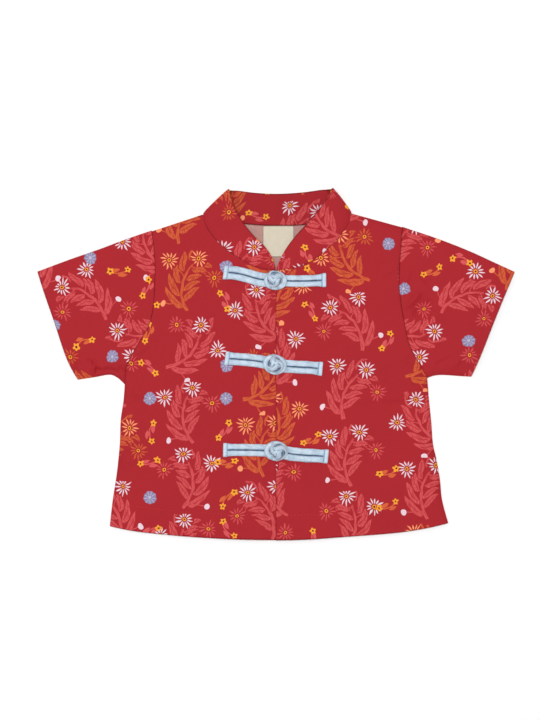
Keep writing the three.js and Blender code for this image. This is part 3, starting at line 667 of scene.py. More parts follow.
def cottonMaterial(name, group, wrongSide=False, toneAndPaintedShade=0.9):
    plan = cottonPlan
    material, shader = newMaterial(name)
    uv = clothUv()
    printed = Val.node("Group", {"node_tree": group}, {0: uv})
    if wrongSide:
        printed = blend(noise(uv, 60.0) * 0.1 + 0.74, printed, plan["wrongSide"])
    # the tone scales the cloth's colour; set below 0.9 it is painted shade
    shade = noise(uv, 22.0, 4.0) * 0.10 + noise(uv, 900.0, 2.0) * 0.10 + toneAndPaintedShade
    colour = Val.node("VectorMath", {"operation": "SCALE"}, {0: printed, 3: shade})
    # a plain weave, threads over and under
    x, y, _ = splitVector(uv)
    turns = math.tau / plan["thread"] / mm
    weave = (x * turns).math("SINE") * (y * turns).math("SINE")
    height = weave * plan["weave"] + noise(uv, 260.0, 3.0) * plan["slub"] + noise(uv, 38.0, 3.0) * plan["crush"]
    setInputs(shader, {"Base Color": colour, "Normal": bump(height, 0.32, 0.0006), **plan["finish"]})
    return material


pattern = printGroup()
printed = cottonMaterial("printed cotton", pattern)
printedBack = cottonMaterial("printed cotton, wrong side", pattern, wrongSide=True)
# the inside of the collar is the same cloth at 0.8 of the tone: painted shade from the rolled collar over it
printedInsidePaintedShade = cottonMaterial("printed cotton, inside the collar, in painted shade", pattern, toneAndPaintedShade=0.8)
print("cotton ready,", len(pattern.nodes), "nodes in the print")

threadPlan = {"length": 2.3, "gap": 0.8, "thick": 0.34, "inset": cloth["hemLine"], "reach": 150,
              "bulge": (-0.22, 0.08, 0.15, 0.08, -0.22),  # how far a stitch stands out along its length
              "colour": linear(190, 48, 56), "roughness": 0.5}

# Fronts

steps = {"side": 14, "armhole": 14, "opening": 16, "neck": 12, "armholeGap": 0.3, "neckGap": 0.35}
perStep = 7  # rows of mesh for each step of the outline
acrossCount = 96


def foldAt(side, angle):  # a station of the collar's turn at the side of the neck
    half = band["wall"] / 2
    nx, ny, tx, ty = collarFold[side]
    neck, top = np.array([nx, ny]), np.array([tx, ty])
    way = (top - neck) / np.linalg.norm(top - neck)
    out = np.array([-way[1], way[0]]) * outwards[side]

    def station(p, radius, base):
        shift = radius * math.cos(angle) - radius - half
        return np.array([*(p + out * shift), half + base + radius * (1 + math.sin(angle))])
    return station(neck, band["foldNeck"], 0), station(top, band["foldTop"], band["sideRise"])


def foldRow(side):
    neck, top = foldAt(side, math.pi / 2)
    return (neck[0], neck[1], top[0], top[1], top[2])


def collarEdge(side, t):
    return lineAt([row[:2] for row in [*collarFront[side], foldRow(side)]], t)


def backNeck(t, first):
    rows = [foldRow("right"), *collarBack, foldRow("left")]
    return lineAt([row[first:first + 2] for row in rows], t)


def finer(points, times):  # straight stretches between points, each cut into as many parts
    p = np.asarray(points)
    t = np.arange(0, len(p) - 1 + 1e-9, 1 / times)
    i = np.minimum(t.astype(int), len(p) - 2)
    return p[i] + (p[i + 1] - p[i]) * (t - i)[:, None]


def sideRows(side):  # the outer edge of a body panel: side seam, then armhole
    edges = outline[side]
    up = lineAt(edges["side"], np.linspace(0, 1, steps["side"] * perStep + 1))[:-1]
    return np.concatenate([up, lineAt(edges["armhole"], np.linspace(0, 1, steps["armhole"] * perStep + 1))])


frontPlan = {"hemY": -167.0, "edgeTop": 0.5, "even": 0.82, "tuckFrom": 15.0, "tuckReach": 11.0, "tuck": 0.05}


def frontPanel(side, plan):
    edges, under = outline[side], side == "right"
    t = np.linspace(0, 1, steps["neck"] * perStep + 1)
    neckline = movedAside(collarEdge(side, t), outwards[side] * steps["neckGap"])
    edgeX = cloth["underlap"] if under else 0.0
    topY = neckline[0][1] - plan["edgeTop"]
    turn = [(8, topY), (0.5, topY)] if under else []
    opening = [(edgeX, y) for y in np.linspace(plan["hemY"], topY, steps["opening"] - len(turn))]
    inner = np.concatenate([finer([*opening, *turn, neckline[0]], perStep)[:-1], neckline])
    outer = sideRows(side)
    s = np.linspace(0, 1, acrossCount)
    s = plan["even"] * s + 0.18 * (0.5 - 0.5 * np.cos(math.pi * s))
    low = lineAt([(edgeX, plan["hemY"]), *edges["hem"][1:]], s)
    high = inner[-1] + (outer[-1] - inner[-1]) * s[:, None]
    flat = patchGrid(inner, outer, low, high, np.linspace(0, 1, len(inner)), s)
    x, y = flat[..., 0], flat[..., 1]
    z = frontTop(x, y, armholeSeam[side])
    if under:
        z -= (cloth["wall"] + cloth["seam"] + plan["tuck"]) * smooth((x + plan["tuckFrom"]) / plan["tuckReach"])
    outerFace = np.dstack([x, y, z])
    innerFace = outerFace - np.array([0, 0, cloth["thin"]])
    node = "front_" + side
    uv = flat + np.array(cloth["shift"][node])
    obj = clothShell(node + "_cloth", outerFace, innerFace, uv, 0.13, [printed, printedBack])
    lay(obj, node, np.ptp(flat.reshape(-1, 2), axis=0))


backPlan = {"thick": 0.6, "hollow": 1.1, "reach": 14.0, "hemReach": 20.0, "groove": 0.7, "hem": 0.25}


def backPanel(plan):
    n = acrossCount
    upRight, upLeft = sideRows("right"), sideRows("left")
    t = np.linspace(0, 1, len(upRight))
    neckline = movedAside(backNeck(np.linspace(0, 1, n), 0), -steps["neckGap"])
    wing = n // 2
    shoulderRight = upRight[-1] + (neckline[0] - upRight[-1]) * np.linspace(0, 1, wing)[:, None]
    shoulderLeft = neckline[-1] + (upLeft[-1] - neckline[-1]) * np.linspace(0, 1, wing)[:, None]
    high = np.concatenate([shoulderRight[:-1], neckline, shoulderLeft[1:]])
    s = (high[:, 0] - high[0, 0]) / (high[-1, 0] - high[0, 0])
    at = hemEdge[0, 0] + (hemEdge[-1, 0] - hemEdge[0, 0]) * s
    low = np.stack([at, np.interp(at, hemEdge[:, 0], hemEdge[:, 1])], 1)
    flat = patchGrid(upRight, upLeft, low, high, t, s)
    x, y = flat[..., 0], flat[..., 1]
    _, nearest, fromHem = liftAt(x, y)
    hollow = plan["hollow"] * np.maximum(foldsAt(backFolds, x, y), 0) * smooth(nearest / plan["reach"])
    hollow = hollow * smooth((fromHem - 2) / plan["hemReach"])
    fromLine = fromHem - cloth["hemLine"]
    groove = threadPlan["thick"] * np.exp(-((fromLine / plan["groove"]) ** 2)) * smooth(nearest / 3)
    bottom = np.dstack([x, y, hollow + groove])
    top = np.dstack([x, y, plan["thick"] + hollow + plan["hem"] * smooth(-fromLine / 2)])
    obj = clothShell("back_panel", bottom, top, flat, 0.2, [printed, printedBack])
    lay(obj, "back", np.ptp(flat.reshape(-1, 2), axis=0))


# Sleeves

sleevePlan = {"fold": 2.4, "arc": 9, "along": 60, "backRows": 40, "grain": {"right": -62.0, "left": 62.0}}


def sleeve(side, plan):
    edges = outline[side]
    count = steps["armhole"] * perStep + 1
    w = np.linspace(0, 1, count)
    armhole = movedAside(lineAt(edges["armhole"], w), outwards[side] * steps["armholeGap"])
    cuff = lineAt(edges["cuff"], w)
    u = np.linspace(0, 1, plan["along"])
    low = lineAt([armhole[0], *edges["underarm"][1:]], u)
    high = lineAt([armhole[-1], *edges["sleeveTop"][1:]], u)
    whole = patchGrid(armhole, cuff, low, high, w, u)
    length = np.linalg.norm(whole[-1] - whole[0], axis=1)
    stop = 1 - plan["fold"] / length  # where each column's fold begins
    rows = np.linspace(0, 1, count)[:, None] * stop[None]
    place = rows * (count - 1)
    i = np.minimum(place.astype(int), count - 2)
    columns = np.arange(len(u))[None]
    front = whole[i, columns] + (whole[i + 1, columns] - whole[i, columns]) * (place - i)[..., None]
    x, y = front[..., 0], front[..., 1]
    centre, rim = front[-1], whole[-1]
    out = (rim - centre) / np.linalg.norm(rim - centre, axis=1)[:, None]
    z = frontTop(x, y, armholeSeam[side])
    z += rolledDown(nearTo(high, x, y)[0])  # the top edge is a fold, with no seam
    upper = np.dstack([x, y, z])
    arc = []
    for angle in np.linspace(90, -90, plan["arc"] + 2)[1:-1]:
        a = math.radians(angle)
        xy = centre + out * (plan["fold"] * math.cos(a))
        arc.append(np.column_stack([xy, z[-1] / 2 * (1 + math.sin(a))]))
    pick = np.linspace(count - 1, 0, plan["backRows"]).round().astype(int)
    lower = np.dstack([x[pick], y[pick], np.zeros((len(pick), len(u)))])
    path = np.concatenate([upper, np.array(arc), lower])
    onward = np.concatenate([[np.zeros(len(u))], np.linalg.norm(np.diff(path, axis=0), axis=2).cumsum(0)])
    past = onward - onward[count - 1]
    fold = whole[-1, -1] - whole[-1, 0]
    beyond = np.array([-fold[1], fold[0]]) / np.linalg.norm(fold) * (1 if fold[0] > 0 else -1)
    unfolded = centre[None] + beyond * past[..., None]
    unfolded[:count] = front
    below = count + plan["arc"]
    bent = past[below]  # the length of cloth that goes round the fold
    mirrored = 2 * ((centre[None] - path[below:, :, :2]) @ beyond) + bent[None]
    unfolded[below:] = path[below:, :, :2] + mirrored[..., None] * beyond
    innerFace = path - normalsOf(path, count // 2, len(u) // 2) * cloth["thin"]
    turn = math.radians(plan["grain"][side])
    spin = np.array([[math.cos(turn), math.sin(turn)], [-math.sin(turn), math.cos(turn)]])
    node = "sleeve_" + side
    uv = unfolded @ spin + np.array(cloth["shift"][node])
    obj = clothShell(node + "_cloth", path, innerFace, uv, 0.15, [printed, printedBack])
    size = np.ptp(np.stack([unfolded @ beyond, unfolded @ fold / np.linalg.norm(fold)], -1).reshape(-1, 2), axis=0)
    lay(obj, node, size)


# Collar

collarPlan = {
    "thick": 1.25, "edge": 0.36, "rows": 22, "crown": 0.35, "turns": 12, "lap": 0.9, "clear": 0.24,
    "backLength": 92, "backStations": 70, "lying": 1.2,  # the collar is plain where it lies lower than this
}


def collar(plan):
    half = band["wall"] / 2
    count = steps["neck"] * (perStep + 1) + 1
    t = np.linspace(0, 1, count)

    def frontStations(side):
        rows = [*collarFront[side], foldRow(side)]
        neck, top = lineAt([r[:2] for r in rows], t), lineAt([r[2:4] for r in rows], t)
        rows[-1] = (*rows[-1][:4], rows[-2][4] + 0.4)
        level = lineAt([(i, r[4]) for i, r in enumerate(rows)], t)[:, 1]
        toFold = smooth((1 - t) / 0.18)
        neck = neck + (movedAside(neck, plan["lap"] * outwards[side]) - neck) * toFold[:, None]
        sewn = frontTop(neck[:, 0], neck[:, 1]) + plan["clear"]
        folded = half + 2 * band["foldNeck"]
        z = folded + (np.maximum(folded - 0.4, sewn) - folded) * toFold
        level = level + (foldRow(side)[4] - rows[-1][4]) * smooth(t) ** 2
        return np.column_stack([neck, z])[:-1], np.column_stack([top, level])[:-1]

    def foldStations(side):
        pairs = [foldAt(side, a) for a in np.linspace(math.pi / 2, -math.pi / 2, plan["turns"] + 1)]
        return np.array([p[0] for p in pairs]), np.array([p[1] for p in pairs])

    middle = np.linspace(0, 1, plan["backStations"])[1:-1]
    fromFold = np.minimum(middle, 1 - middle) * plan["backLength"]
    rise = band["sideRise"] * smooth(1 - fromFold / band["sideReach"])
    backs = [np.column_stack([backNeck(middle, 0), np.full(len(middle), half)]),
             np.column_stack([backNeck(middle, 2), half + rise])]
    fr, ff = frontStations("right"), frontStations("left")
    tr, tf = foldStations("right"), foldStations("left")
    neck, top = [np.concatenate([fr[k], tr[k], backs[k], tf[k][::-1], ff[k][::-1]]) for k in (0, 1)]
    v = np.linspace(0, 1, plan["rows"])
    grid = neck[:, None] + (top - neck)[:, None] * v[None, :, None]
    normal = normalsOf(grid, count // 2, plan["rows"] // 2)
    swell = np.where(grid[..., 2] < plan["lying"], 0, plan["crown"] * np.sin(math.pi * v) ** 0.8)
    thick = plan["thick"] / 2 * (1 - 0.3 * v**8)
    thick = thick - (plan["thick"] - plan["edge"]) / 2 * (1 - smooth(v / 0.12))
    along = np.concatenate([[0], np.linalg.norm(np.diff((neck + top) / 2, axis=0), axis=1).cumsum()])
    puff = 0.06 * unevenness(along[:, None] + 0 * v, 29 * v[None] + 0 * along[:, None], 17, 11)
    outer = grid + normal * (thick + swell + puff)[..., None]
    inner = grid - normal * (thick - swell * 0.6)[..., None]
    wide = np.linalg.norm(top - neck, axis=1)
    uv = np.dstack([along[:, None] + 0 * v, wide[:, None] * v[None]]) + np.array(cloth["shift"]["collar"])
    # the collar's inner face takes the cotton in painted shade
    obj = clothShell("collar_band", outer, inner, uv, 0.2, [printed, printedInsidePaintedShade])
    lay(obj, "collar", np.ptp(uv.reshape(-1, 2), axis=0))


for side in outline:
    frontPanel(side, frontPlan)
backPanel(backPlan)
for side in outline:
    sleeve(side, sleevePlan)
collar(collarPlan)
print("cloth laid out")

# Label

labelPlan = {
    "width": 29.0, "length": 29.0, "x": 2.2, "top": 131.2, "lies": 1.55, "thick": 0.45, "crown": 0.35, "wave": 0.45,
    "rib": 0.5, "colours": (linear(200, 190, 168), linear(222, 211, 192)), "roughness": 0.72,
}


def labelMaterial():
    material, shader = newMaterial("woven ribbon")
    uv = clothUv()
    ribs = (splitVector(uv)[1] * (math.tau / labelPlan["rib"] / mm)).math("SINE")
    fade = noise(uv, 240.0, 3.0)
    colour = blend(fade * 0.6 + ribs * 0.12, *labelPlan["colours"])
    setInputs(shader, {"Base Color": colour, "Normal": bump(ribs * 0.5 + fade, 0.35, 0.0002),
                       "Roughness": labelPlan["roughness"]})
    return material


def label(plan):
    s, t = np.linspace(0, 1, 40), np.linspace(0, 1, 40)
    x = plan["x"] + plan["width"] * (s[None] - 0.5) + 0 * t[:, None]
    y = plan["top"] - plan["length"] * (1 - t[:, None]) + 0 * s[None]
    z = plan["lies"] + plan["crown"] * np.sin(math.pi * s[None])
    z = z + plan["wave"] * (1 - t[:, None]) * np.sin(math.pi * s[None] * 1.5 + 0.6) ** 2
    face = np.dstack([x, y, z])
    obj = clothShell("neck_label", face, face - np.array([0, 0, plan["thick"]]), face[..., :2], 0.2,
                     [labelMaterial()])
    obj.data.polygons.foreach_set("material_index", [0] * len(obj.data.polygons))
    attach(obj, "root")
    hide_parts("label")
    plan["width"] * mm
    plan["length"] * mm


label(labelPlan)
print("label sewn in")

# Frog fastenings

frogs = {  # where the button is, and for each half its end x, y, bow, wave and extra width
    "top": {"button": (-1.0, 79.6), "loop": (-49.8, 87.0, 0.1, 1.1, 0.95),
            "strap": (47.6, 79.9, -1.0, 0.0, -0.05)},
    "middle": {"button": (-1.2, -0.4), "loop": (-48.4, 5.6, -1.2, -0.2, 0.4),
               "strap": (44.2, -4.5, -0.2, -0.3, 0.5)},
    "bottom": {"button": (0.6, -82.2), "loop": (-50.2, -81.3, -0.4, 0.0, 0.2),
               "strap": (49.6, -87.5, -1.2, -0.3, 0.85)},
}
frogPlan = {
    "seat": 4.72, "width": 5.6, "height": 2.7, "pitch": 2.8, "flare": 1.25, "flareReach": 9.0,
    "runsEnd": 5.2, "pressed": 1.9,  # the runs' inner ends lie flat under the ring
    "stitchesIn": 3.7, "stitches": 5, "stitchSize": (0.4, 0.36),  # the stitches across the outer end
    "endDepth": 1.9, "endRise": 1.3,  # the cloth turned under at the outer end
    "ringWidth": 5.0, "ringHeight": 3.0,
    "ball": 5.9, "strand": 4.5, "strandHeight": 3.2, "over": 0.7, "under": (4.9, 20.0), "ballFlat": 0.66,
    "ballRise": 6.3, "lean": (22, 43), "core": 0.6, "crown": (1.9, 1.7, 1.3), "stem": (2.4, 1.7),
}
satinPlan = {
    # colours are the lit and the shaded satin, painted light and shade; groove is a darker blue painted as shade
    "colours": (linear(158, 190, 216), linear(216, 225, 233)), "groove": linear(56, 88, 122), "twill": 0.45,
    "finish": {"Roughness": 0.36, "Specular IOR Level": 0.5, "Sheen Weight": 0.15},
}
knotPlan = {  # the knotted button in its ring, then the ring's two reaches and its shift
    "top": {"size": 1.0, "aside": (-0.4, 1.4), "turn": 0.5, "tilt": (0.2, 0.1), "ring": (8.5, 6.7),
            "shift": -0.6},
    "middle": {"size": 1.04, "aside": (0.2, 0.0), "turn": 1.9, "tilt": (-0.2, 0.15), "ring": (8.8, 7.1),
               "shift": 0.0},
    "bottom": {"size": 1.02, "aside": (1.7, 0.1), "turn": 2.7, "tilt": (0.1, -0.3), "ring": (8.8, 7.0),
               "shift": 0.5},
}


def satinMaterial():
    material, shader = newMaterial("pale blue satin")
    x, y = [part * 1000.0 for part in splitVector(clothUv())[:2]]
    twill = ((x + y * 1.1) * (math.tau / satinPlan["twill"])).math("SINE")
    # the pucker height drives the bump and also blends shaded into lit satin: painted light and shade on the
    # puckers
    puckerAndPaintedLight = noise(point(x * 0.10, y * 0.55), 1.0, 3.0, flat=True)
    # the groove attribute darkens towards the groove colour: painted shade
    depth = Val.node("Attribute", {"attribute_name": "groove"}, None, 2)
    colour = blend(depth, blend(puckerAndPaintedLight, *satinPlan["colours"]), satinPlan["groove"])
    normal = bump(twill * 0.07 + puckerAndPaintedLight * 1.2, 0.5, 0.0005)
    setInputs(shader, {"Base Color": colour, "Normal": normal, **satinPlan["finish"]})
    return material


satin = satinMaterial()


class Parts:  # several closed shapes kept as one mesh
    def __init__(self):
        self.verts, self.shapes, self.faces, self.uvs, self.groove, self.count = [], [], [], [], [], 0

    def add(self, verts, faces, uvs, groove):
        self.verts.append(verts)
        self.shapes.append(faces)
        self.faces += [[i + self.count for i in face] for face in faces]
        self.uvs.append(uvs)
        self.groove.append(groove)
        self.count += len(verts)

    def build(self, name, material):
        obj = newObject(name, np.concatenate(self.verts), self.faces, np.concatenate(self.uvs),
                        np.zeros(len(self.faces)), [material])
        # groove holds painted shade for each point, from 0 to 1
        layer = obj.data.attributes.new("groove", "FLOAT", "POINT")
        layer.data.foreach_set("value", np.concatenate(self.groove).astype(np.float32))
        return obj


def sweep(parts, path, width, height, sides, closed=False, upright=True, crease=0.0, seed=1, square=0.85,
          paintedShade=None):
    # a soft cord along a path of points; width and height are one value, or one for each point
    # paintedShade gives, for each point, how much painted shade darkens it
    n = len(path)
    width, height = np.zeros(n) + width, np.zeros(n) + height
    way = (np.roll(path, -1, 0) - np.roll(path, 1, 0)) if closed else np.gradient(path, axis=0)
    way /= np.linalg.norm(way, axis=1)[:, None]
    if upright:
        side = np.stack([-way[:, 1], way[:, 0], 0 * way[:, 0]], 1)
    else:
        side = np.cross(way, path - path.mean(0))
    side /= np.linalg.norm(side, axis=1)[:, None]
    up = np.cross(way, side)
    angle = np.arange(sides) / sides * math.tau
    c, s = np.cos(angle), np.sin(angle)
    c, s = np.sign(c) * np.abs(c) ** square, np.sign(s) * np.abs(s) ** square
    along = np.concatenate([[0], np.linalg.norm(np.diff(path, axis=0), axis=1).cumsum()])
    a, b = np.meshgrid(along, angle, indexing="ij")
    around = along[-1] if closed else 1e9
    meet = smooth(np.minimum(a, around - a) / 4) if closed else 1.0
    coarse = unevenness(a, 9 * np.sin(b), 9, seed)
    ruck = (coarse + 0.7 * unevenness(a + 4 * b, 5 * np.cos(b), 3.2, seed + 1)) * meet
    ends = np.ones(n)
    if not closed:
        reach = 0.45 * np.minimum(width[0], height[0])
        tip = np.minimum(along, along[-1] - along)
        ends = np.sqrt(1 - np.clip(1 - tip / reach, 0, 1) ** 2) * 0.96 + 0.04
    size = (1 + crease * ruck) * ends[:, None]
    shape = (path[:, None] + side[:, None] * (c[None] * size * width[:, None] / 2)[..., None]
             + up[:, None] * (s[None] * size * height[:, None] / 2)[..., None])
    verts = shape.reshape(-1, 3)
    # painted shade in the hollows of the cord's wrinkles, plus what paintedShade adds
    groove = np.clip(-(ruck - 0.7) * 0.5, 0, 1).ravel() * 0.3
    if paintedShade:
        groove = np.clip(groove + paintedShade(verts), 0, 1)
    uvs = np.dstack([a, b * width.mean() / 2]).reshape(-1, 2)
    parts.add(verts, tubeFaces(verts, n, sides, closed), uvs, groove)


class HalfLine:  # the middle line of one half of a fastening, by distance from the button
    def __init__(self, button, half):
        endX, endY, self.bow, self.wave, self.wider = half
        self.middle, end = np.array(button), np.array([endX, endY])
        self.length = np.linalg.norm(end - self.middle)
        self.way = (end - self.middle) / self.length
        self.side = np.array([-self.way[1], self.way[0]])

    def bend(self, distance):
        share = np.clip(distance / self.length, 0, 1)
        return self.bow * np.sin(math.pi * share) + self.wave * np.sin(math.tau * share)

    def at(self, distance, aside):
        distance = np.asarray(distance, float)
        return (self.middle + self.way * distance[..., None]
                + self.side * (aside + self.bend(distance))[..., None])

    def place(self, verts):  # distance and aside of points
        distance = (verts[:, :2] - self.middle) @ self.way
        return distance, (verts[:, :2] - self.middle) @ self.side - self.bend(distance)


def strap(parts, plan, line, seed):  # two runs of cord side by side, folded under together at their end
    length = line.length

    # painted shade: darker where the two runs meet, along their lower edges on the cloth, and in the stitch line
    def paintedShade(verts):
        distance, aside = line.place(verts)
        middle = np.clip((1.15 - np.abs(aside)) / 0.9, 0, 1) * smooth((length - 3.6 - distance) / 2)
        edge = np.clip((1.5 - (verts[:, 2] - plan["seat"])) / 1.1, 0, 1) * 0.85
        stitched = np.exp(-(((length - distance - plan["stitchesIn"]) / 0.7) ** 2)) * 0.35
        return 0.95 * middle + edge + stitched

    distance = np.linspace(length - 1.2, plan["runsEnd"], int((length - plan["runsEnd"]) / 0.6))
    flare = plan["flare"] * smooth((distance - length + plan["flareReach"]) / plan["flareReach"])
    flare = flare + line.wider * smooth((length - distance - 1) / 12)
    width = plan["width"] + flare
    press = np.exp(-(((length - distance - plan["stitchesIn"]) / 0.8) ** 2))
    height = plan["height"] * (1 - 0.35 * press)
    height = plan["pressed"] + (height - plan["pressed"]) * smooth((distance - 10) / 4)
    for sign in (1, -1):
        xy = line.at(distance, sign * (plan["pitch"] + flare / 2))
        path = np.column_stack([xy, plan["seat"] + height / 2])
        sweep(parts, path, width, height, sides=22, crease=0.04, seed=seed + sign, paintedShade=paintedShade)

    whole = 2 * plan["pitch"] + plan["width"] + 2 * plan["flare"]
    u, v = np.linspace(-1, 1, 26), np.linspace(0, math.tau, 20, endpoint=False)
    a, b = np.meshgrid(u, v, indexing="ij")
    body = np.clip(1 - np.abs(a) ** 7, 0, 1) ** 0.5 * 0.985 + 0.015
    deep = plan["endDepth"]
    along = length - deep + deep * np.sign(np.cos(b)) * np.abs(np.cos(b)) ** 0.6 * (0.75 + 0.25 * body)
    rise = np.sign(np.sin(b)) * np.abs(np.sin(b)) ** 0.75 * body
    rise = rise * (1 + 0.08 * unevenness(a * whole / 2, along, 6, seed))
    xy = line.at(along.ravel(), (a * (whole / 2 - 0.15)).ravel())
    verts = np.column_stack([xy, plan["seat"] + plan["endRise"] + plan["endRise"] * rise.ravel()])
    uvs = np.column_stack([along.ravel(), (a * whole / 2).ravel()])
    parts.add(verts, tubeFaces(verts, len(u), len(v)), uvs, np.zeros(len(verts)))
    for aside in np.linspace(-whole / 2 + 1.6, whole / 2 - 1.6, plan["stitches"]):
        offset = np.linspace(-0.85, 0.85, 7)
        xy = line.at(length - plan["stitchesIn"] + 0 * offset, aside + offset)
        path = np.column_stack([xy, plan["seat"] + 2.0 + 0.28 * np.cos(offset * 1.6)])
        # the stitches are a quarter of the way to the groove colour: painted shade where they sink into the cord
        sweep(parts, path, *plan["stitchSize"], sides=8, seed=5, paintedShade=lambda verts: np.full(len(verts), 0.25))


def finishFrog(parts, node):
    obj = parts.build(node + "_cord", satin)
    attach(obj, "root")
    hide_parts(node)


def loopHalf(name, spec, plan):
    line = HalfLine(spec["button"], spec["loop"])
    parts = Parts()
    strap(parts, plan, line, 20 + len(name))
    # the ring lies over the inner ends of the runs on both sides, and on the front between them
    angle = np.linspace(0, math.tau, 150, endpoint=False)
    reach, aside = knotPlan[name]["ring"]
    xy = line.at(knotPlan[name]["shift"] + reach * np.cos(angle), aside * np.sin(angle))
    lift = plan["pressed"] * smooth((np.abs(np.cos(angle)) - 0.25) / 0.4)
    path = np.column_stack([xy, plan["seat"] + plan["ringHeight"] / 2 + lift])
    # the ring's lower part darkens towards the groove colour: painted shade where it sits on the cloth and the runs
    sweep(parts, path, plan["ringWidth"], plan["ringHeight"], sides=22, closed=True, crease=0.06,
          seed=30 + len(name), paintedShade=lambda verts: np.clip((plan["seat"] + 1.5 - verts[:, 2]) / 1.2, 0, 1) * 0.85)
    finishFrog(parts, "frog_loop_" + name)


def knottedButton(parts, plan, centre, size, turn, tilt):
    # one cord, twice round the ball in three waves that pass over and under each other
    t = np.linspace(0, math.tau, 300, endpoint=False)
    lean = np.radians(plan["lean"][0] + plan["lean"][1] * np.sin(3 * t))
    around = 2 * t + turn
    radius = plan["ball"] + plan["over"] * np.cos(3 * t)
    path = np.stack([radius * np.cos(lean) * np.cos(around), radius * np.cos(lean) * np.sin(around),
                     radius * np.sin(lean)], 1)
    ball = Parts()

    # painted shade: the strands darken the deeper they lie towards the core
    def paintedShade(verts):
        return smooth((plan["ball"] + 1.35 - np.linalg.norm(verts, axis=1)) / 1.1)

    # a turn of cord below, which shows between the others
    reach, height = plan["under"][0], math.radians(plan["under"][1])
    below = np.stack([reach * math.cos(height) * np.cos(t), reach * math.cos(height) * np.sin(t),
                      0 * t + reach * math.sin(height)], 1)
    for line, sides, crease, seed in ((path, 18, 0.035, 71 + int(10 * turn)), (below, 16, 0.04, 83)):
        sweep(ball, line, plan["strand"], plan["strandHeight"], sides, closed=True, upright=False,
              crease=crease, seed=seed, square=0.95, paintedShade=paintedShade)
    bpy.ops.object.select_all(action="DESELECT")
    bpy.ops.mesh.primitive_uv_sphere_add(segments=32, ring_count=20, radius=1)
    core = bpy.context.object
    points = np.array([v.co[:] for v in core.data.vertices])
    shape = [list(p.vertices) for p in core.data.polygons]
    bpy.data.objects.remove(core)
    # the core is wholly in the groove colour: a dark ball painted as the shade between the strands
    ball.add(points * (plan["ball"] - plan["core"]), shape, points[:, :2] * 5, np.full(len(points), 1.0))
    crown = points * plan["crown"] + [0, 0, plan["ball"] + plan["core"]]  # the cord's end, tucked in at the top
    # the crown's lower half darkens towards the groove colour: painted shade
    ball.add(crown, shape, points[:, :2] * 2, np.clip(0.75 - points[:, 2], 0, 1))
    ax, ay = tilt
    rollX = np.array([[1, 0, 0], [0, math.cos(ax), -math.sin(ax)], [0, math.sin(ax), math.cos(ax)]])
    rollY = np.array([[math.cos(ay), 0, math.sin(ay)], [0, 1, 0], [-math.sin(ay), 0, math.cos(ay)]])
    for verts, uvs, groove, faces in zip(ball.verts, ball.uvs, ball.groove, ball.shapes):
        placed = verts @ (rollX @ rollY).T * [size, size, size * plan["ballFlat"]] + centre
        parts.add(placed, faces, uvs, groove)


def buttonHalf(name, spec, plan):
    line = HalfLine(spec["button"], spec["strap"])
    knot = knotPlan[name]
    parts = Parts()
    strap(parts, plan, line, 40 + len(name))
    for aside in (-1.25, 1.25):  # the stem under the button
        xy = line.at(np.linspace(8.0, 0.5, 14), np.full(14, aside))
        path = np.column_stack([xy, np.full(14, plan["seat"] + 0.95)])
        sweep(parts, path, *plan["stem"], sides=12, crease=0.03, seed=61)
    x, y = np.add(spec["button"], knot["aside"])
    centre = np.array([x, y, plan["seat"] + plan["ballRise"]])
    knottedButton(parts, plan, centre, knot["size"], knot["turn"], knot["tilt"])
    finishFrog(parts, "frog_button_" + name)


for name, spec in frogs.items():
    loopHalf(name, spec, frogPlan)
    buttonHalf(name, spec, frogPlan)
print("frog fastenings made")

# Hem stitches


def threadMaterial():
    material, shader = newMaterial("red thread")
    place = Val.node("TexCoord", None, None, 3)
    twist = Val.node("TexWave", {"wave_type": "BANDS", "bands_direction": "DIAGONAL"},
                     {"Vector": place, "Scale": 1400.0, "Distortion": 1.0})
    setInputs(shader, {"Base Color": threadPlan["colour"], "Normal": bump(twist, 0.4, 0.0001),
                       "Roughness": threadPlan["roughness"]})
    return material


thread = threadMaterial()


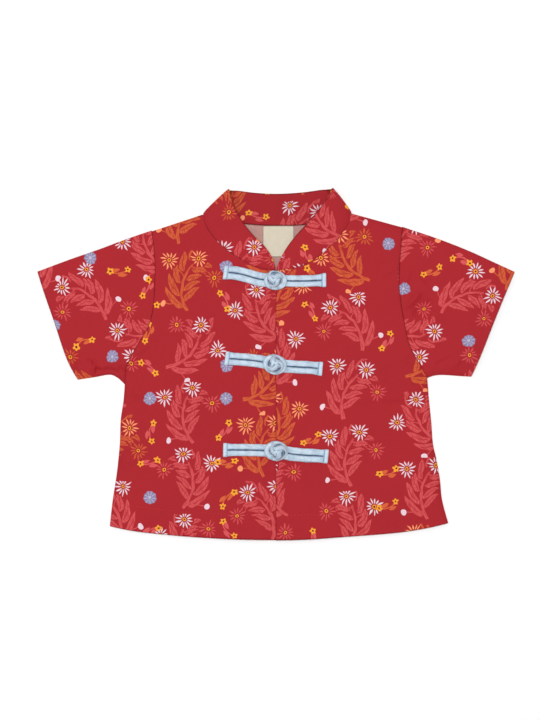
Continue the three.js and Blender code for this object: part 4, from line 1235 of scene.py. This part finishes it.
def stitchLine(name, line, height, plan, up=1):  # line is points in plan view; height gives z for x, y
    step = np.linalg.norm(np.diff(line, axis=0), axis=1)
    along = np.concatenate([[0], step.cumsum()])
    parts = Parts()
    starts = np.arange(1.5, along[-1] - 3, plan["length"] + plan["gap"])
    for start in starts:
        d = start + np.linspace(0, plan["length"], 5) + rng.uniform(-0.08, 0.08)
        x, y = np.interp(d, along, line[:, 0]), np.interp(d, along, line[:, 1])
        path = np.column_stack([x, y, height(x, y) + up * np.array(plan["bulge"])])
        sweep(parts, path, plan["thick"], plan["thick"], sides=6, seed=3)
    obj = parts.build(name, thread)
    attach(obj, "root")


lowest = threadPlan["thick"] / 2 + threadPlan["bulge"][2]
for side in outline:
    line = movedAside(lineAt(outline[side]["hem"], fine), -outwards[side] * threadPlan["inset"])
    keep = line[np.abs(line[:, 0]) < threadPlan["reach"]]
    stitchLine("hem_stitches_" + side, keep, frontTop, threadPlan)
    stitchLine("hem_stitches_back_" + side, keep, lambda x, y: 0 * x + lowest, threadPlan, -1)
print("hem stitched")

# Floor and light

stagePlan = {"size": 6.0, "floor": (0.93, 0.93, 0.93, 1), "roughness": 0.9, "world": 0.34}
lights = {
    "overhead": {"place": (-0.1, 0.2, 2.9), "size": 0.9, "power": 65},
    "key": {"place": (-1.5, 0.9, 1.5), "size": 1.6, "power": 4},
}


def addStage(plan):
    bpy.ops.object.select_all(action="DESELECT")
    bpy.ops.mesh.primitive_plane_add(size=plan["size"], location=(0, 0, -0.0002))
    floor = bpy.context.object
    floor.name = "floor"
    bpy.ops.object.transform_apply(location=True, rotation=True, scale=True)
    material, shader = newMaterial("pale floor")
    setInputs(shader, {"Base Color": plan["floor"], "Roughness": plan["roughness"]})
    floor.data.materials.append(material)
    world = bpy.context.scene.world or bpy.data.worlds.new("world")
    bpy.context.scene.world = world
    world.use_nodes = True
    sky = next(n for n in world.node_tree.nodes if n.type == "BACKGROUND")
    setInputs(sky, {"Color": (1, 1, 1, 1), "Strength": plan["world"]})


def addLight(name, place, size, power):
    data = bpy.data.lights.new(name, "AREA")
    data.shape = "DISK"
    data.size = size
    data.energy = power
    lamp = bpy.data.objects.new(name, data)
    lamp.location = place
    lamp.rotation_euler = Vector(place).to_track_quat("Z", "Y").to_euler()
    bpy.context.scene.collection.objects.link(lamp)


addStage(stagePlan)
for name, lamp in lights.items():
    addLight(name, **lamp)
scene = bpy.context.scene
scene.view_settings.view_transform = "Standard"
scene.view_settings.look = "None"
print("floor and light set")
